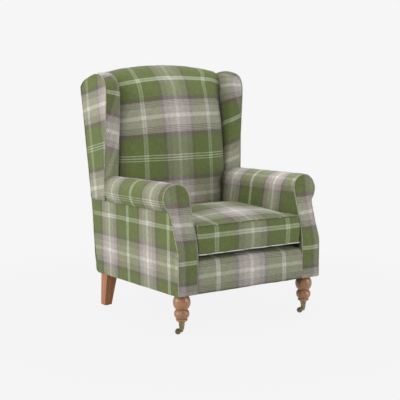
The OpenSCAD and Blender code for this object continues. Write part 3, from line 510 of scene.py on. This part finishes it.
HESSIAN = weave_material("platform_cloth", (0.115, 0.135, 0.070), (0.060, 0.072, 0.035), 0.0030)
NYLON = nylon_material("black_nylon", (0.040, 0.040, 0.042), (0.018, 0.018, 0.019))
SLOTS = {"frame_wood": PINE, "leg_wood": OAK, "brass": BRASS, "steel": STEEL, "webbing": JUTE,
         "dust_cloth": LINING, "glide_plastic": NYLON, "plaid": PLAID}
# Parts that differ from the rest of their slot, by the end of their names; the rear legs get a darker, less
# glossy copy of the oak, which is painted shade
OWN = {"axle": DULL, "rear_leg": OAK_REAR_PAINTED_SHADE}
for part in frame["record"]["subparts"]:
    name, materials = part["node"], nodes[part["node"]].data.materials
    materials.clear()
    own = [material for ending, material in OWN.items() if name.endswith(ending)]
    materials.append(own[0] if own else SLOTS[part["material_slot"]])


# ---- Where the covers lie on the plaid ----
def on_cloth(way, half_sett):
    """Millimetres on the cloth for a way along the body, where half a sett takes up that length."""
    return way * (HALF_SETT / half_sett)


def side_cloth(y, z):
    return points(on_cloth(y - 235, 168.5), on_cloth(z - 120, 156))


def roll_cloth(side, y, s):
    """For the way s round the arm from the seam under its scroll."""
    slant = (0.27 if side < 0 else 0.21) * np.maximum(s - 150, 0) * eased(y, 40, 150)
    if side > 0:
        # The right arm's stripes lie closer together behind its scroll
        y = np.interp(y, [-40, 110, 178, 218, 343, 494, 700], [-30, 75, 158, 207, 325, 492, 700])
    v = on_cloth(s - 39 + 0.16 * np.maximum(s - 190, 0), 167) - HALF_SETT
    return points(on_cloth(y - 158 - slant, 167), np.where(v > 90, 90 + (v - 90) * 0.6, v))


def facing_cloth(x, z):
    rise = z - 286
    return points((398 - x) * 1.07, 2 * HALF_SETT + on_cloth(rise, np.where(rise > 0, 172, 152)))


def outside_wing_cloth(y, z):
    return points(on_cloth(y - 724 - (z - 643) * 0.121, 182.5) + HALF_SETT,
                  on_cloth(z + (y - 600) * 0.171 - 770, 182.5))


def wing_cloth(side, w, z):
    """For the way w from the outer piping round towards the inside."""
    if side < 0:
        turn, along, up = math.radians(15), w - 33, z - 643
        eased_up = np.where(up < -110, -110 + 45 * np.tanh((up + 110) / 45), up)
        return points(on_cloth(along * math.cos(turn) - up * math.sin(turn), 170) - 35,
                      on_cloth(eased_up * math.cos(turn) + along * math.sin(turn), 170))
    level = z + w * (0.08 + 0.28 * eased(z, 850, 690))
    v = np.interp(level, [304, 504, 698, 851, 951], [545.6, 360, 180, 0, -117.6])
    past = (w - np.interp(z, [440, 653, 707, 767, 854, 960], [0, 3, 28, 51, 70, 84])) / 0.87
    held = 66 * np.tanh(past / 66) + np.maximum(past - 140, 0) * eased(past, 140, 170)
    return points(-90 - np.where(past > 0, held, past), v)


def cushion_cloth(x, y):
    return points(on_cloth(x - 10, 183), HALF_SETT + on_cloth(y + 41, 168))


# ---- Arms ----
LEVELS, TURNS = 26, 30      # points up an arm's outer side, and round its scroll


def arm_edge(r, outer, inner):
    """Outer side with the scroll, and inner side, seen from the front; their heights match."""
    low_turn = -math.acos((outer - ROLL_X) / r)
    seam = ROLL_Z + r * math.sin(low_turn)
    angle = np.linspace(low_turn, math.pi / 2, TURNS)
    out = np.concatenate([points(outer, np.linspace(0, seam, LEVELS, endpoint=False)),
                          points(ROLL_X + r * np.cos(angle), ROLL_Z + r * np.sin(angle))])
    z = out[:, 1]
    # The scroll meets its underside in a small hollow, not in a sharp nick
    out[:, 0] += 3.0 * bell(z, seam, 16)
    rise = np.clip((z - ROLL_Z) / r, 0, 1)
    arc = ROLL_X - r * np.sqrt(np.maximum(1 - rise ** 2, 0))
    straight = inner + (ROLL_X - r - inner) * eased(z, 322, ROLL_Z)
    return out, points(np.where(z < ROLL_Z, straight, arc), z)


def arm_loop(sides):
    out, inn = arm_edge(*sides)
    return np.vstack([out, inn[::-1][1:]])


ARM_LOOP = arm_loop(ARM_SIDES)
ROUND_ARM = arc_length(ARM_LOOP)
ROUND_ARM -= ROUND_ARM[LEVELS]


def facing_turn(x, z):
    """The scroll's outer side lies a little further back than its inner side."""
    return 12.5 * eased(x, 295, 370) * eased(z, 160, 245) * (1 - 0.55 * eased(z, 335, 395))


def make_facing(side, word):
    """Padded front of an arm, with its edge band, folded lower edge and piping."""
    outer, inner = arm_edge(*FACING_SIDES)
    s = np.linspace(0, 1, 19)
    width = (outer - inner)[:, :1]
    x, z = inner[:, :1] + width * s, outer[:, 1:] + 0 * s
    pad = 6.0 * (1 - np.abs(2 * s - 1) ** 3.2) * smooth(width / 70) * smooth(z / 26 + 0.35)
    pad *= 1 + 1.3 / 6 * waves(points(x, 0, z), 70, 20 + side)
    y = facing_y(z) + 1.5 - pad + facing_turn(x, z)
    shell = Shell(word + "_arm_facing_cover")
    shell.panel(points(side * x, y, z), facing_cloth(x, z), flip=side > 0)
    # Edge band from the front back to the arm's covers
    front = arm_loop(FACING_SIDES)
    t = np.linspace(0, 1, 7)[:, None]
    ring = front + (ARM_LOOP - front) * np.sin(t * math.pi / 2)[..., None]
    ring_x, ring_z = ring[..., 0], ring[..., 1]
    depth = facing_y(ring_z) + 1.5 + t * 20.0 + (1 - t) * facing_turn(ring_x, ring_z)
    p = points(side * ring_x, depth, ring_z)
    for part, cloth in ((np.s_[:, :LEVELS + 1], side_cloth(depth, ring_z)),
                        (np.s_[:, LEVELS:], roll_cloth(side, depth, ROUND_ARM))):
        shell.panel(p[part], cloth[part], flip=side < 0)
    fold = 18
    low = points(side * x[0], facing_y(0) + 1.5, 0)
    shell.hem(low, (0, fold, 0), facing_cloth(x[0], 0), facing_cloth(x[0], -fold), flip=side < 0, after=True)
    finish(shell.build(), "chair", PLAID, 0.35, 11 + side, [word + "_arm_facing"])
    x, z = front.T
    path = resample(points(side * x, facing_y(z) + 0.4, z), 190)
    path[:, 1] += facing_turn(np.abs(path[:, 0]), path[:, 2])
    path[:, 2] = np.maximum(path[:, 2], 2.8)
    pipe(word + "_facing_piping", "chair", path, PIPING_R, 31 + side, (118.0, 26.0, 74.0, side, 6))


def make_arm_cover(side, word):
    """Rolled cover over the arm and down its inside, ending in the seat."""
    outline, way = ARM_LOOP[LEVELS:], ROUND_ARM[LEVELS:]
    keep = (outline[:, 1] >= 138) | (np.arange(len(outline)) <= TURNS)
    s = np.linspace(0, way[keep][-1], 84)
    t = np.linspace(0, 1, 72)[:, None]
    x, z = [np.interp(s, way[keep], outline[keep, k]) + 0 * t for k in (0, 1)]
    start, end = facing_y(z) + 19.0, 652
    y = start + (end - start) * t
    # Drawn in under the wing's outside panel
    tuck = eased(y, 556, 598)
    x = np.where(x > 362, x + (362 - x) * tuck, x)
    # Padding rounds it outwards, but not into the side panel or the cushion
    angle = np.arctan2(z - ROLL_Z, x - ROLL_X)
    puff = 1.6 * swell((y - 30) / 560, 0.6) * eased(z, 150, 330)
    x = x + puff * np.where(x > 300, np.cos(angle), -1) * (x < 361.9 + 40 * (1 - tuck))
    x = np.where((z < ROLL_Z) & (x < 300), np.maximum(x, 262.3), x)
    z = z + puff * np.maximum(np.sin(angle), 0)
    crease = 0.48 * bell(y, 40, 34) * np.sin(z / 7.5 + x / 9.0) * (z > 300)
    shell = Shell(word + "_arm_cover", 0.18 if side < 0 else 0.28)
    shell.panel(points(side * (x + crease), y, z + crease), roll_cloth(side, y, s), flip=side < 0)
    finish(shell.build(), "chair", PLAID, 0.7, 40 + side, [word + "_arm_pad"])


def make_side_cover(side, word):
    """Side panel under the roll, turned in along its bottom."""
    rows = np.concatenate([[0, 1.5, 4, 7, 11, 16], np.linspace(23, 348, 43)])[:, None]
    t = np.linspace(0, 1, 92)
    start = facing_y(rows) + 20.0
    stop = rear_y(rows) - 9.0 - 16 * eased(rows, 16, 0) ** 2
    y, z = start + (stop - start) * t, rows + 0 * t
    edge = np.minimum(smooth(z / 9), smooth((stop + 1 - y) / 9))
    fill = 0.8 + 1.6 * swell(z / 337, 0.7) * swell(t, 0.5)
    p = points(side * (363.4 + edge * fill - 5 * eased(z, 330, 348)), y, z)
    shell = Shell(word + "_side_cover", 0.18)
    shell.panel(p, side_cloth(y, z), flip=side > 0)
    turn = 14
    shell.hem(p[0], (-side * turn, 0, 0), side_cloth(y[0], z[0]), side_cloth(y[0], z[0] - turn),
              flip=side > 0)
    finish(shell.build(), "chair", PLAID, 0.55, 50 + side, [word + "_outside_arm"])


for side, word in ((-1, "left"), (1, "right")):
    make_facing(side, word)
    make_arm_cover(side, word)
    make_side_cover(side, word)

# ---- Wings ----
# Edge of a wing in y and z, from the arm up its front, over its crest and down to the back, with
# its outward normal: forward at the front and up on the top
WING_LINE = spline([(597, 400), (596, 446), (589.5, 540), (580, 640), (570, 740), (564.5, 800),
                    (565, 836), (574, 866), (594, 887), (624, 899), (660, 904), (700, 898), (745, 886),
                    (784, 873), (803, 862), (811, 844)], 150)
WING_TOP = int(np.argmax(WING_LINE[:, 1]))
WING_RUN = np.gradient(WING_LINE, axis=0)
WING_RUN /= np.linalg.norm(WING_RUN, axis=1)[:, None]
WING_NORMAL = points(-WING_RUN[:, 1], WING_RUN[:, 0])
# Section of the soft cover in x and depth, from the outer piping round the front to the inside
WING_SECTION = resample(np.array([
    (367.0, 1.0), (364, -2.0), (356, -5.0), (342, -7.0), (326, -7.2), (310, -5.0), (299, -0.5),
    (293.5, 7.0), (291.2, 17), (290.4, 30), (290.0, 48), (290.0, 70), (290.5, 100), (291, 140)]), 40)


def wing_flare(z):
    """A wing spreads a little where it stands on the arm."""
    return 4.0 * eased(z, 620, 470)


def make_outside_wing(side, word):
    """Outside panel of a wing, turned in along its foot and its front edge."""
    towards_crest = np.sin(np.linspace(0, 1, 13)[1:] * math.pi / 2)
    rows = np.concatenate([np.linspace(336.5, 850, 64), 850 + 54 * towards_crest])
    rows[-1] = WING_LINE[WING_TOP, 1]
    rising, falling = WING_LINE[:WING_TOP + 1], WING_LINE[WING_TOP:][::-1]
    front = np.where(rows < 440, 598.5, np.interp(rows, rising[:, 1], rising[:, 0]))
    rear = np.where(rows > 845, np.interp(rows, falling[:, 1], falling[:, 0]), rear_y(rows) - 9.5)
    s = np.linspace(0, 1, 36)
    y, z = front[:, None] + (rear - front)[:, None] * s, rows[:, None] + 0 * s
    fill = (4 * s * (1 - s)) ** 0.6 * swell((z - 330) / 575, 0.5)
    p = points(side * (366.2 + 3.0 * fill + wing_flare(z) * eased(s, 0.3, 0)), y, z)
    cloth = outside_wing_cloth(y, z)
    shell = Shell(word + "_outside_wing_cover")
    shell.panel(p, cloth, flip=side > 0)
    foot, lip = 12, 14
    shell.hem(p[0], (-side * foot, 0, 0), cloth[0], outside_wing_cloth(y[0], z[0] - foot), flip=side > 0)
    shell.hem(p[:, 0], (-side * 16.0, 9.0, 0), cloth[:, 0],
              outside_wing_cloth(y[:, 0] - lip, z[:, 0]), flip=side > 0, axis=1)
    finish(shell.build(), "chair", PLAID, 0.5, 60 + side, [word + "_outside_wing"])


def make_wing(side, word):
    """Soft cover round a wing's front edge and over its inside, and the piping along its outer edge."""
    line_y, line_z = WING_LINE[:, :1], WING_LINE[:, 1:]
    section_x, depth = WING_SECTION.T
    # The section stands across the edge, then turns towards the wing's spine
    inwards = points(712.0, np.clip(WING_LINE[:, 1], 380, 800)) - WING_LINE
    reach = np.linalg.norm(inwards, axis=1)[:, None]
    inwards /= reach
    blend = smooth(depth / 60)[:, None]
    direction = -WING_NORMAL[:, None] * (1 - blend) + inwards[:, None] * blend
    direction /= np.linalg.norm(direction, axis=-1)[..., None]
    deep = np.minimum(depth, reach * 0.95)
    yz = WING_LINE[:, None] + direction * deep[..., None]
    x = section_x + wing_flare(line_z) * eased(section_x, 300, 350)
    # The rear corner is drawn square against the inside back
    x = x - (x - 290.2) * eased(line_y, 765, 800) * eased(x, 320, 304)
    p = points(x, yz[..., 0], yz[..., 1])
    soft = waves(p * (1, 1, 0.7), 120, 70 + side) * smooth(np.abs(deep + 8) / 8) * (x < 355)
    p[..., 0] -= 1.2 * soft
    # Place on the cloth: the inner face laid flat, and the wrap round the edge unrolled outward
    turn_in, wrap = int(np.argmax(depth > 15)), 78
    w = arc_length(WING_SECTION)
    outward = ((w[turn_in] - w) * wrap / w[turn_in])[:, None]
    unrolled = yz[:, turn_in][:, None] + WING_NORMAL[:, None] * outward
    flat = np.where((np.arange(len(w)) < turn_in)[:, None], unrolled, yz)
    rising = WING_LINE[:WING_TOP][WING_LINE[:WING_TOP, 1] < 837]
    front = np.interp(flat[..., 1], rising[:, 1], rising[:, 0])
    cloth = wing_cloth(side, flat[..., 0] - front - 17 + wrap, flat[..., 1])
    p[..., 0] *= side
    shell = Shell(word + "_wing_cover")
    shell.panel(p, cloth, flip=side < 0)
    finish(shell.build(), "chair", PLAID, 0.6, 80 + side, [word + "_wing"])
    # The piping runs out where the wing meets the back
    keep = (WING_LINE[:, 1] > 425) & (WING_LINE[:, 0] < 668)
    y, z = (WING_LINE + 0.8 * WING_NORMAL)[keep].T
    out = eased(y, 630, 668)
    path = resample(points(side * (367.2 + wing_flare(z) - 5 * out), y, z - 4 * out), 200)
    pipe(word + "_wing_piping", "chair", path, PIPING_R, 90 + side, (118.0, 24.0, 66.0, side, 6))


for side, word in ((-1, "left"), (1, "right")):
    make_outside_wing(side, word)
    make_wing(side, word)

# ---- Back ----
# The inside back from the seat over its crest: shares of its rise and of its depth, how much its
# sides lie behind its middle, and its share of the arch
BACK_SHARES = [(0, 0, 1, 0), (.38, .04, .9, 0), (.5, .06, .9, 0), (.6, .09, .92, 0), (.715, .155, .95, 0),
               (.78, .22, .88, .05), (.83, .29, .74, .1), (.889, .435, .42, .4), (.941, .6, .14, .62),
               (.975, .74, .04, .85), (.993, .87, 0, .97), (1, 1, 0, 1), (.987, 1.25, 0, 1)]


def back_half(z):
    """Half the inside back's width, which grows where the wings begin."""
    return 264.5 + 20.5 * eased(z, 380, 446)


def make_inside_back():
    rise, deep, bulge, arch = spline(BACK_SHARES, 92).T
    front = points(FACE_FOOT_Y + (CREST_Y - FACE_FOOT_Y) * deep, SEAT_Z + (CREST_Z - SEAT_Z) * rise,
                   80 * bulge, FACE_ARCH * arch)
    over = [(*front[-1, :2], 0, FACE_ARCH)] + [(y, z, 0, FACE_ARCH) for y, z in (
        (762, 931), (776, 918), (back_y(906) - 12.5, 906), (back_y(880) - 14, 880))]
    profile = np.vstack([front, spline(over, 14)[1:]])
    run, height = arc_length(profile[:, :2]), profile[:, 1]
    y, z, bulge, arch = profile.T[..., None]
    u = np.linspace(-1, 1, 75)
    x = (back_half(z) + 3.6 * eased(z, 800, 860)) * u
    p = points(x, y + bulge * np.abs(u) ** 4, z - arch * np.abs(u) ** ARCH_POWER)
    # Rows of the plaid by height on the face, and by the way over the crest beyond the last one
    face = np.nonzero(height < 925)[0]
    marks = np.interp([345, 519, 713, 882], height[face][:-1], run[face][:-1])
    v = np.interp(run, marks, [-360, -180, 0, 180])
    v = np.where(run < marks[0], -360 + on_cloth(run - marks[0], 174), v)
    v = np.where(run > marks[3], 180 + on_cloth(run - marks[3], 172), v)
    slant = 22 * eased(z, 520, 710) * np.maximum(-u, 0) ** 1.6
    lifted = 15 * (eased(z, 700, 820) * eased(u, 0.78, 1.0))
    drawn = eased(z, 850, 920) * np.interp(x, [-260, -186, -10, 197, 260], [10, 13, 16, -17, -17])
    cloth = points(on_cloth(x + 3 - 9 * eased(z, 760, 920) + drawn, 173.5), v[:, None] + slant + lifted)
    shell = Shell("inside_back_cover")
    shell.panel(p, cloth)
    # A hidden rear closes the cover
    inset = 64.3
    rear_z = np.linspace(880, 150, 30)[:, None]
    fall = FACE_ARCH * np.abs(u) ** ARCH_POWER * eased(rear_z, 700, 880)
    rear = points(back_half(rear_z) * u, back_y(rear_z) - inset, rear_z - fall)
    rear = np.concatenate([p[-1:], rear])
    shell.panel(rear, rear[..., [0, 2]])
    # Each side goes back to the hidden rear, or is tucked down beside the wing behind it
    share = np.linspace(0, 1, 5)[:, None]
    for k, inward in ((0, -22.0), (-1, 22.0)):
        rim = p[:, k]
        rim_x, rim_y, rim_z = rim.T
        plane = back_y(rim_z) - inset
        ahead = (rim_y < plane)[:, None]
        within = points(rim_x, plane, np.minimum(rim_z, 876))
        under = np.interp(rim_y, [745, 784, 800, 811], [883, 877, 876, 856])
        low = points(rim_x, rim_y, np.minimum(rim_z, under))
        halfway = np.where(ahead, (rim + within) / 2, low)
        inner = np.where(ahead, within, low + (inward, 0, -4.0))
        wall = [a[:, None] * (1 - share) + b[:, None] * share
                for a, b in ((rim, halfway), (halfway, inner))]
        wall = np.concatenate([wall[0], wall[1][:, 1:]], 1)
        shell.panel(wall, cloth[:, k][:, None] + points(np.linspace(0, 60, 9), 0), flip=k == 0)
    finish(shell.build(), "chair", PLAID, 0.9, 7, ["inside_back"])


def make_outside_back():
    """Rear panel from side to side, rounded at its sides and turned in at its top and bottom."""
    top_z = 906
    rows = np.concatenate([[0, 2, 4.5, 8, 12, 16], np.linspace(24, 876, 66),
                           top_z - np.array([22, 16, 12, 9, 6, 4, 2, 0])])[:, None] / top_z
    corner = np.array([(368, -12.0), (368.0, -7), (366.2, -3), (362.5, -0.8), (357, 0)])
    x0, set_back = np.vstack([corner, points(np.linspace(352, -352, 60), 0), corner[::-1] * (-1, 1)]).T
    from_middle = np.abs(x0)
    top = np.where(from_middle > 288, 877.5 - 16.5 * eased(from_middle, 288, 314),
                   top_z - ARCH_DROP * (from_middle / HALF_W) ** ARCH_POWER)
    z = rows * top
    # Below the wings the panel is a little narrower
    narrow = 365.2 / 368
    x = x0 * (narrow + (1 - narrow) * eased(z, 330, 344))
    drawn = 9 * eased(z, top - 9, top) ** 2 + 16 * eased(z, 16, 0) ** 2 \
        + 9 * (eased(from_middle, 290, 350) * eased(z, top - 30, top)) ** 2
    pad = swell(rows, 0.5) * np.maximum(1 - (from_middle / 360) ** 4, 0)
    p = points(x, rear_y(z) + set_back - drawn + 2.2 * pad - 2.2, z)
    cloth = points(HALF_SETT + on_cloth(x, 170), on_cloth(z - 560, 170))
    shell = Shell("outside_back_cover")
    shell.panel(p, cloth)
    tucked = eased(from_middle, 262, 282)
    lip = points(0, -10 - 18 * tucked, -1.5 - 7 * tucked)
    shell.hem(p[-1], lip, cloth[-1], cloth[-1] + (0, 10), after=True)
    shell.hem(p[0], (0, -14, 0), cloth[0], cloth[0] - (0, 14))
    finish(shell.build(), "chair", PLAID, 0.6, 17, ["outside_back"])


make_inside_back()
make_outside_back()


# ---- Seat ----
def make_border():
    """Front border over the front rail, rolled back over its top edge."""
    angle = np.radians(np.linspace(180, 90, 9))
    profile = np.vstack([[(10, 0.0), (2, 0.0), (-1.5, 1.5), (-4.5, 14), (-6.2, 30), (-6.8, 60),
                          (-6.9, 86), (-6.6, 99)],
                         points(20 + 26 * np.cos(angle), 114 + 26 * np.sin(angle)),
                         [(32, 142), (46, 146), (70, 149)]])
    profile = resample(profile, 60)
    run = arc_length(profile)
    zero = np.interp(74, profile[:40, 1], run[:40])
    y, z = profile.T[..., None]
    half = 267.6
    x = np.linspace(-half, half, 90)
    edge = smooth((half - np.abs(x)) / 14)
    p = points(x, y + 3.0 * (1 - edge), z - 4 * eased(x, 60, 180) * eased(z, 80, 120))
    shell = Shell("front_border_cover", 0.09)
    shell.panel(p, points(on_cloth(x + 2, 170), on_cloth(run - zero, 168)[:, None]))
    finish(shell.build(), "chair", PLAID, 0.6, 27, ["front_border"])


def make_platform():
    """Hessian platform under the cushion."""
    front, back, count = 70.5, 600.0, 40
    x, y = np.meshgrid(np.linspace(-SEAT_HALF, SEAT_HALF, count), np.linspace(front, back, count))
    sag = swell((x + SEAT_HALF) / (2 * SEAT_HALF), 0.6) * swell((y - 70) / 530, 0.6)
    top, low = points(x, y, 149.2 - 3.5 * sag), points(x, y, 129.5)
    shell = Shell("platform_cover")
    shell.panel(top, points(x, y))
    shell.panel(low, points(x, y), flip=True)
    plain = np.zeros((2, count, 2))
    for k in (0, -1):
        shell.panel(np.stack([low[k], top[k]]), plain, flip=k == -1)
        shell.panel(np.stack([low[:, k], top[:, k]]), plain, flip=k == 0)
    finish(shell.build(), "chair", HESSIAN, replaced=["seat_platform"])


CUSHION_HALF, CUSHION_D, CUSHION_DRAW = 264.5, 522.0, 6.0
CREST_SHARE = 0.57      # where the crown is highest, from the front


def cushion_plan(u, v, grow):
    """Plan of the cushion, its sides drawn in between its corners; u and v go from -1 to 1."""
    nip = CUSHION_DRAW * np.abs(u * v) ** 10
    x = u * (CUSHION_HALF + grow - CUSHION_DRAW * (1 - v * v) - nip)
    y = CUSHION_D / 2 + v * (CUSHION_D / 2 + grow - CUSHION_DRAW * (1 - u * u) - nip)
    return x, y


def cushion_ring(ru, rv, level, grow):
    """Outline of the cushion at a height."""
    x, y = cushion_plan(ru, rv, grow)
    return points(x, y, level)


def around(grid):
    """The rim of a grid, once round and back to its start."""
    return np.concatenate([grid[0, :-1], grid[:-1, -1], grid[-1, :0:-1], grid[::-1, 0]])


def closer_at_ends(count):
    s = np.sin(np.linspace(-1, 1, count) * math.pi / 2 * 0.94)
    return s / s[-1]


def make_cushion():
    """Box cushion: made slack, blown up by the simulation from its seams, then piped."""
    n, m, slack = 61, 59, 0.76
    u, v = np.meshgrid(closer_at_ends(n), closer_at_ends(m))
    x, y = cushion_plan(u, v, 0)
    s = (v + 1) / 2
    from_crest = np.where(s < CREST_SHARE, 1 - s / CREST_SHARE, (s - CREST_SHARE) / (1 - CREST_SHARE))
    crown = 62 * (1 - np.abs(u) ** 3.6) * (1 - from_crest ** np.where(s < CREST_SHARE, 1.4, 2))
    belly = 9.4 * np.minimum(1, 1.15 * (1 - np.abs(u) ** 6) * (1 - np.abs(v) ** 6))
    shell = Shell("seat_cushion_cover", 0.06)
    shell.panel(points(x, y, SEAM_HIGH + slack * crown), cushion_cloth(x, y))
    shell.panel(points(x, y, SEAM_LOW - belly), cushion_cloth(x, y), flip=True)
    # Border round the four sides, swelling between its seams
    ru, rv = around(u), around(v)
    ring = []
    for k in np.linspace(0, 1, 13):
        bow = math.sin(math.pi * k)
        row = cushion_ring(ru, rv, SEAM_LOW + k * (SEAM_HIGH - SEAM_LOW), 2.0 * bow)
        row[:, 1] -= 5.0 * bow * (row[:, 1] < 60)
        ring.append(row)
    ring = np.array(ring)
    way = arc_length(ring[0])
    way -= np.interp(0, ring[0][:n, 0], way[:n])
    shell.panel(ring, points(on_cloth(way - 10, 183), HALF_SETT + on_cloth(ring[..., 2] - 236, 168)))
    ob = shell.build(weld=0.02)
    p = points_of(ob.data)
    p = inflate(ob, (np.abs(p[:, 2] - SEAM_HIGH) < 0.2) | (p[:, 2] < SEAM_LOW + 0.5))
    p[:, 2] = np.maximum(p[:, 2], SEAT_Z + 0.6)
    p[:, 0] = np.clip(p[:, 0], -SEAT_HALF, SEAT_HALF)
    set_points(ob.data, p)
    # The cloth puckers beside its upper seam
    above = p[:, 2] - SEAM_HIGH
    pucker = 0.7 * bell(above, 0, 22) * (1 - np.exp(-above ** 2 / 8))
    set_points(ob.data, p + normals_of(ob.data) * (pucker * waves(p, 30, 77))[:, None])
    smoother = ob.modifiers.new("smooth", "SUBSURF")
    smoother.levels = smoother.render_levels = 1
    finish(ob, "cushion", PLAID, 0.5, 37, ["seat_cushion"])
    for word, z, start, turned, laid in (("upper", SEAM_HIGH, 0.0, 0.38, (84.0, 104.0, 104.0, 0.6, 12)),
                                         ("lower", SEAM_LOW, 90.0, 0.0, (60.0, 4.0, 104.0, 0.0, 20))):
        seam = cushion_ring(ru, rv, z, 2.0)[:-1]
        path = resample(np.vstack([seam, seam[:1]]), 420)[:-1]
        path[:, 2] += 0.5 * waves(path, 46, 9)
        pipe("cushion_" + word + "_piping", "cushion", path, CUSHION_PIPING_R, 5, laid, turned,
             closed=True, start=start)


make_border()
make_platform()
make_cushion()

# ---- Studio ----
BACKDROP = (0.922, 0.922, 0.922, 1.0)
FLOOR_REACH = 30.0


def make_floor():
    """Pale floor that keeps the chair's shadow and fades into the backdrop."""
    mesh = bpy.data.meshes.new("floor")
    corners = [(x * FLOOR_REACH, y * FLOOR_REACH, 0) for x, y in ((-1, -1), (1, -1), (1, 1), (-1, 1))]
    mesh.from_pydata(corners, [], [(0, 1, 2, 3)])
    net = material_net("floor")
    far = net.vector("LENGTH", net.place(), out=1)
    fade = net.node("ShaderNodeMapRange", {"Value": far, "From Min": 0.7, "From Max": 1.7,
                                           "To Min": 0.955, "To Max": 1.0},
                    interpolation_type="SMOOTHSTEP").outputs[0]
    rays = net.node("ShaderNodeLightPath").outputs
    seen = net.math("MAXIMUM", rays["Is Glossy Ray"], rays["Is Transmission Ray"])
    share = net.math("MULTIPLY", fade, net.math("MAXIMUM", rays["Is Camera Ray"], seen))
    lit = net.node("ShaderNodeBsdfDiffuse", {"Color": (0.48, 0.48, 0.48, 1)}).outputs[0]
    plain = net.node("ShaderNodeEmission", {"Color": BACKDROP}).outputs[0]
    mesh.materials.append(net.done(net.node("ShaderNodeMixShader", {0: share, 1: lit, 2: plain}).outputs[0]))
    linked("floor", mesh)


def make_world():
    world = bpy.data.worlds.new("studio")
    scene.world = world
    net = Net(world, "ShaderNodeOutputWorld")
    rays = net.node("ShaderNodeLightPath").outputs
    seen = net.math("MAXIMUM", rays["Is Camera Ray"], rays["Is Transmission Ray"])
    light = net.node("ShaderNodeBackground", {"Color": (0.98, 0.99, 1.0, 1), "Strength": 0.27}).outputs[0]
    shown = net.node("ShaderNodeBackground", {"Color": BACKDROP}).outputs[0]
    net.done(net.node("ShaderNodeMixShader", {0: seen, 1: light, 2: shown}).outputs[0])


# Name, place, height of the target on the chair's axis, width and height in metres, watts, colour
LAMPS = [("key", (-3.4, -2.1, 2.6), 0.5, (2.6, 2.6), 56, (1.0, 0.985, 0.95)),
         ("side", (-4.0, 0.9, 1.3), 0.5, (2.4, 2.0), 84, (1.0, 0.99, 0.965)),
         ("fill", (2.2, -3.2, 1.3), 0.5, (2.4, 2.0), 60, (0.99, 0.995, 1.0)),
         ("top", (0.0, 0.3, 3.8), 0.4, (2.4, 2.4), 60, (1, 1, 1)),
         ("rear", (1.4, 3.2, 2.2), 0.6, (2.0, 1.6), 56, (1, 1, 1))]


def make_lamps():
    for name, place, height, size, watts, colour in LAMPS:
        data = bpy.data.lights.new(name, "AREA")
        data.shape = "RECTANGLE"
        data.size, data.size_y = size
        data.energy = watts
        data.color = colour
        ob = linked(name, data)
        ob.location = place
        ob.rotation_euler = (Vector((0, 0, height)) - Vector(place)).to_track_quat("-Z", "Y").to_euler()


def make_camera():
    """The photo's camera: its azimuth, line of sight, place and focal length were solved from the photo."""
    azimuth = math.radians(33.118)
    place, ahead = (-2.3651, -3.6492, 1.1114), Vector((0.54079, 0.82900, -0.14252)).normalized()
    focal_px, photo_px, sensor_mm = 972.2, 400, 36.0
    data = bpy.data.cameras.new("camera")
    data.sensor_width = sensor_mm
    data.lens = focal_px / photo_px * sensor_mm
    right = Vector((math.cos(azimuth), -math.sin(azimuth), 0))
    turn = Matrix((right, right.cross(ahead), -ahead)).transposed().to_4x4()
    ob = linked("camera", data)
    ob.matrix_world = Matrix.Translation(place) @ turn
    scene.camera = ob


make_floor()
make_world()
make_lamps()
make_camera()
scene.view_settings.view_transform = "Standard"
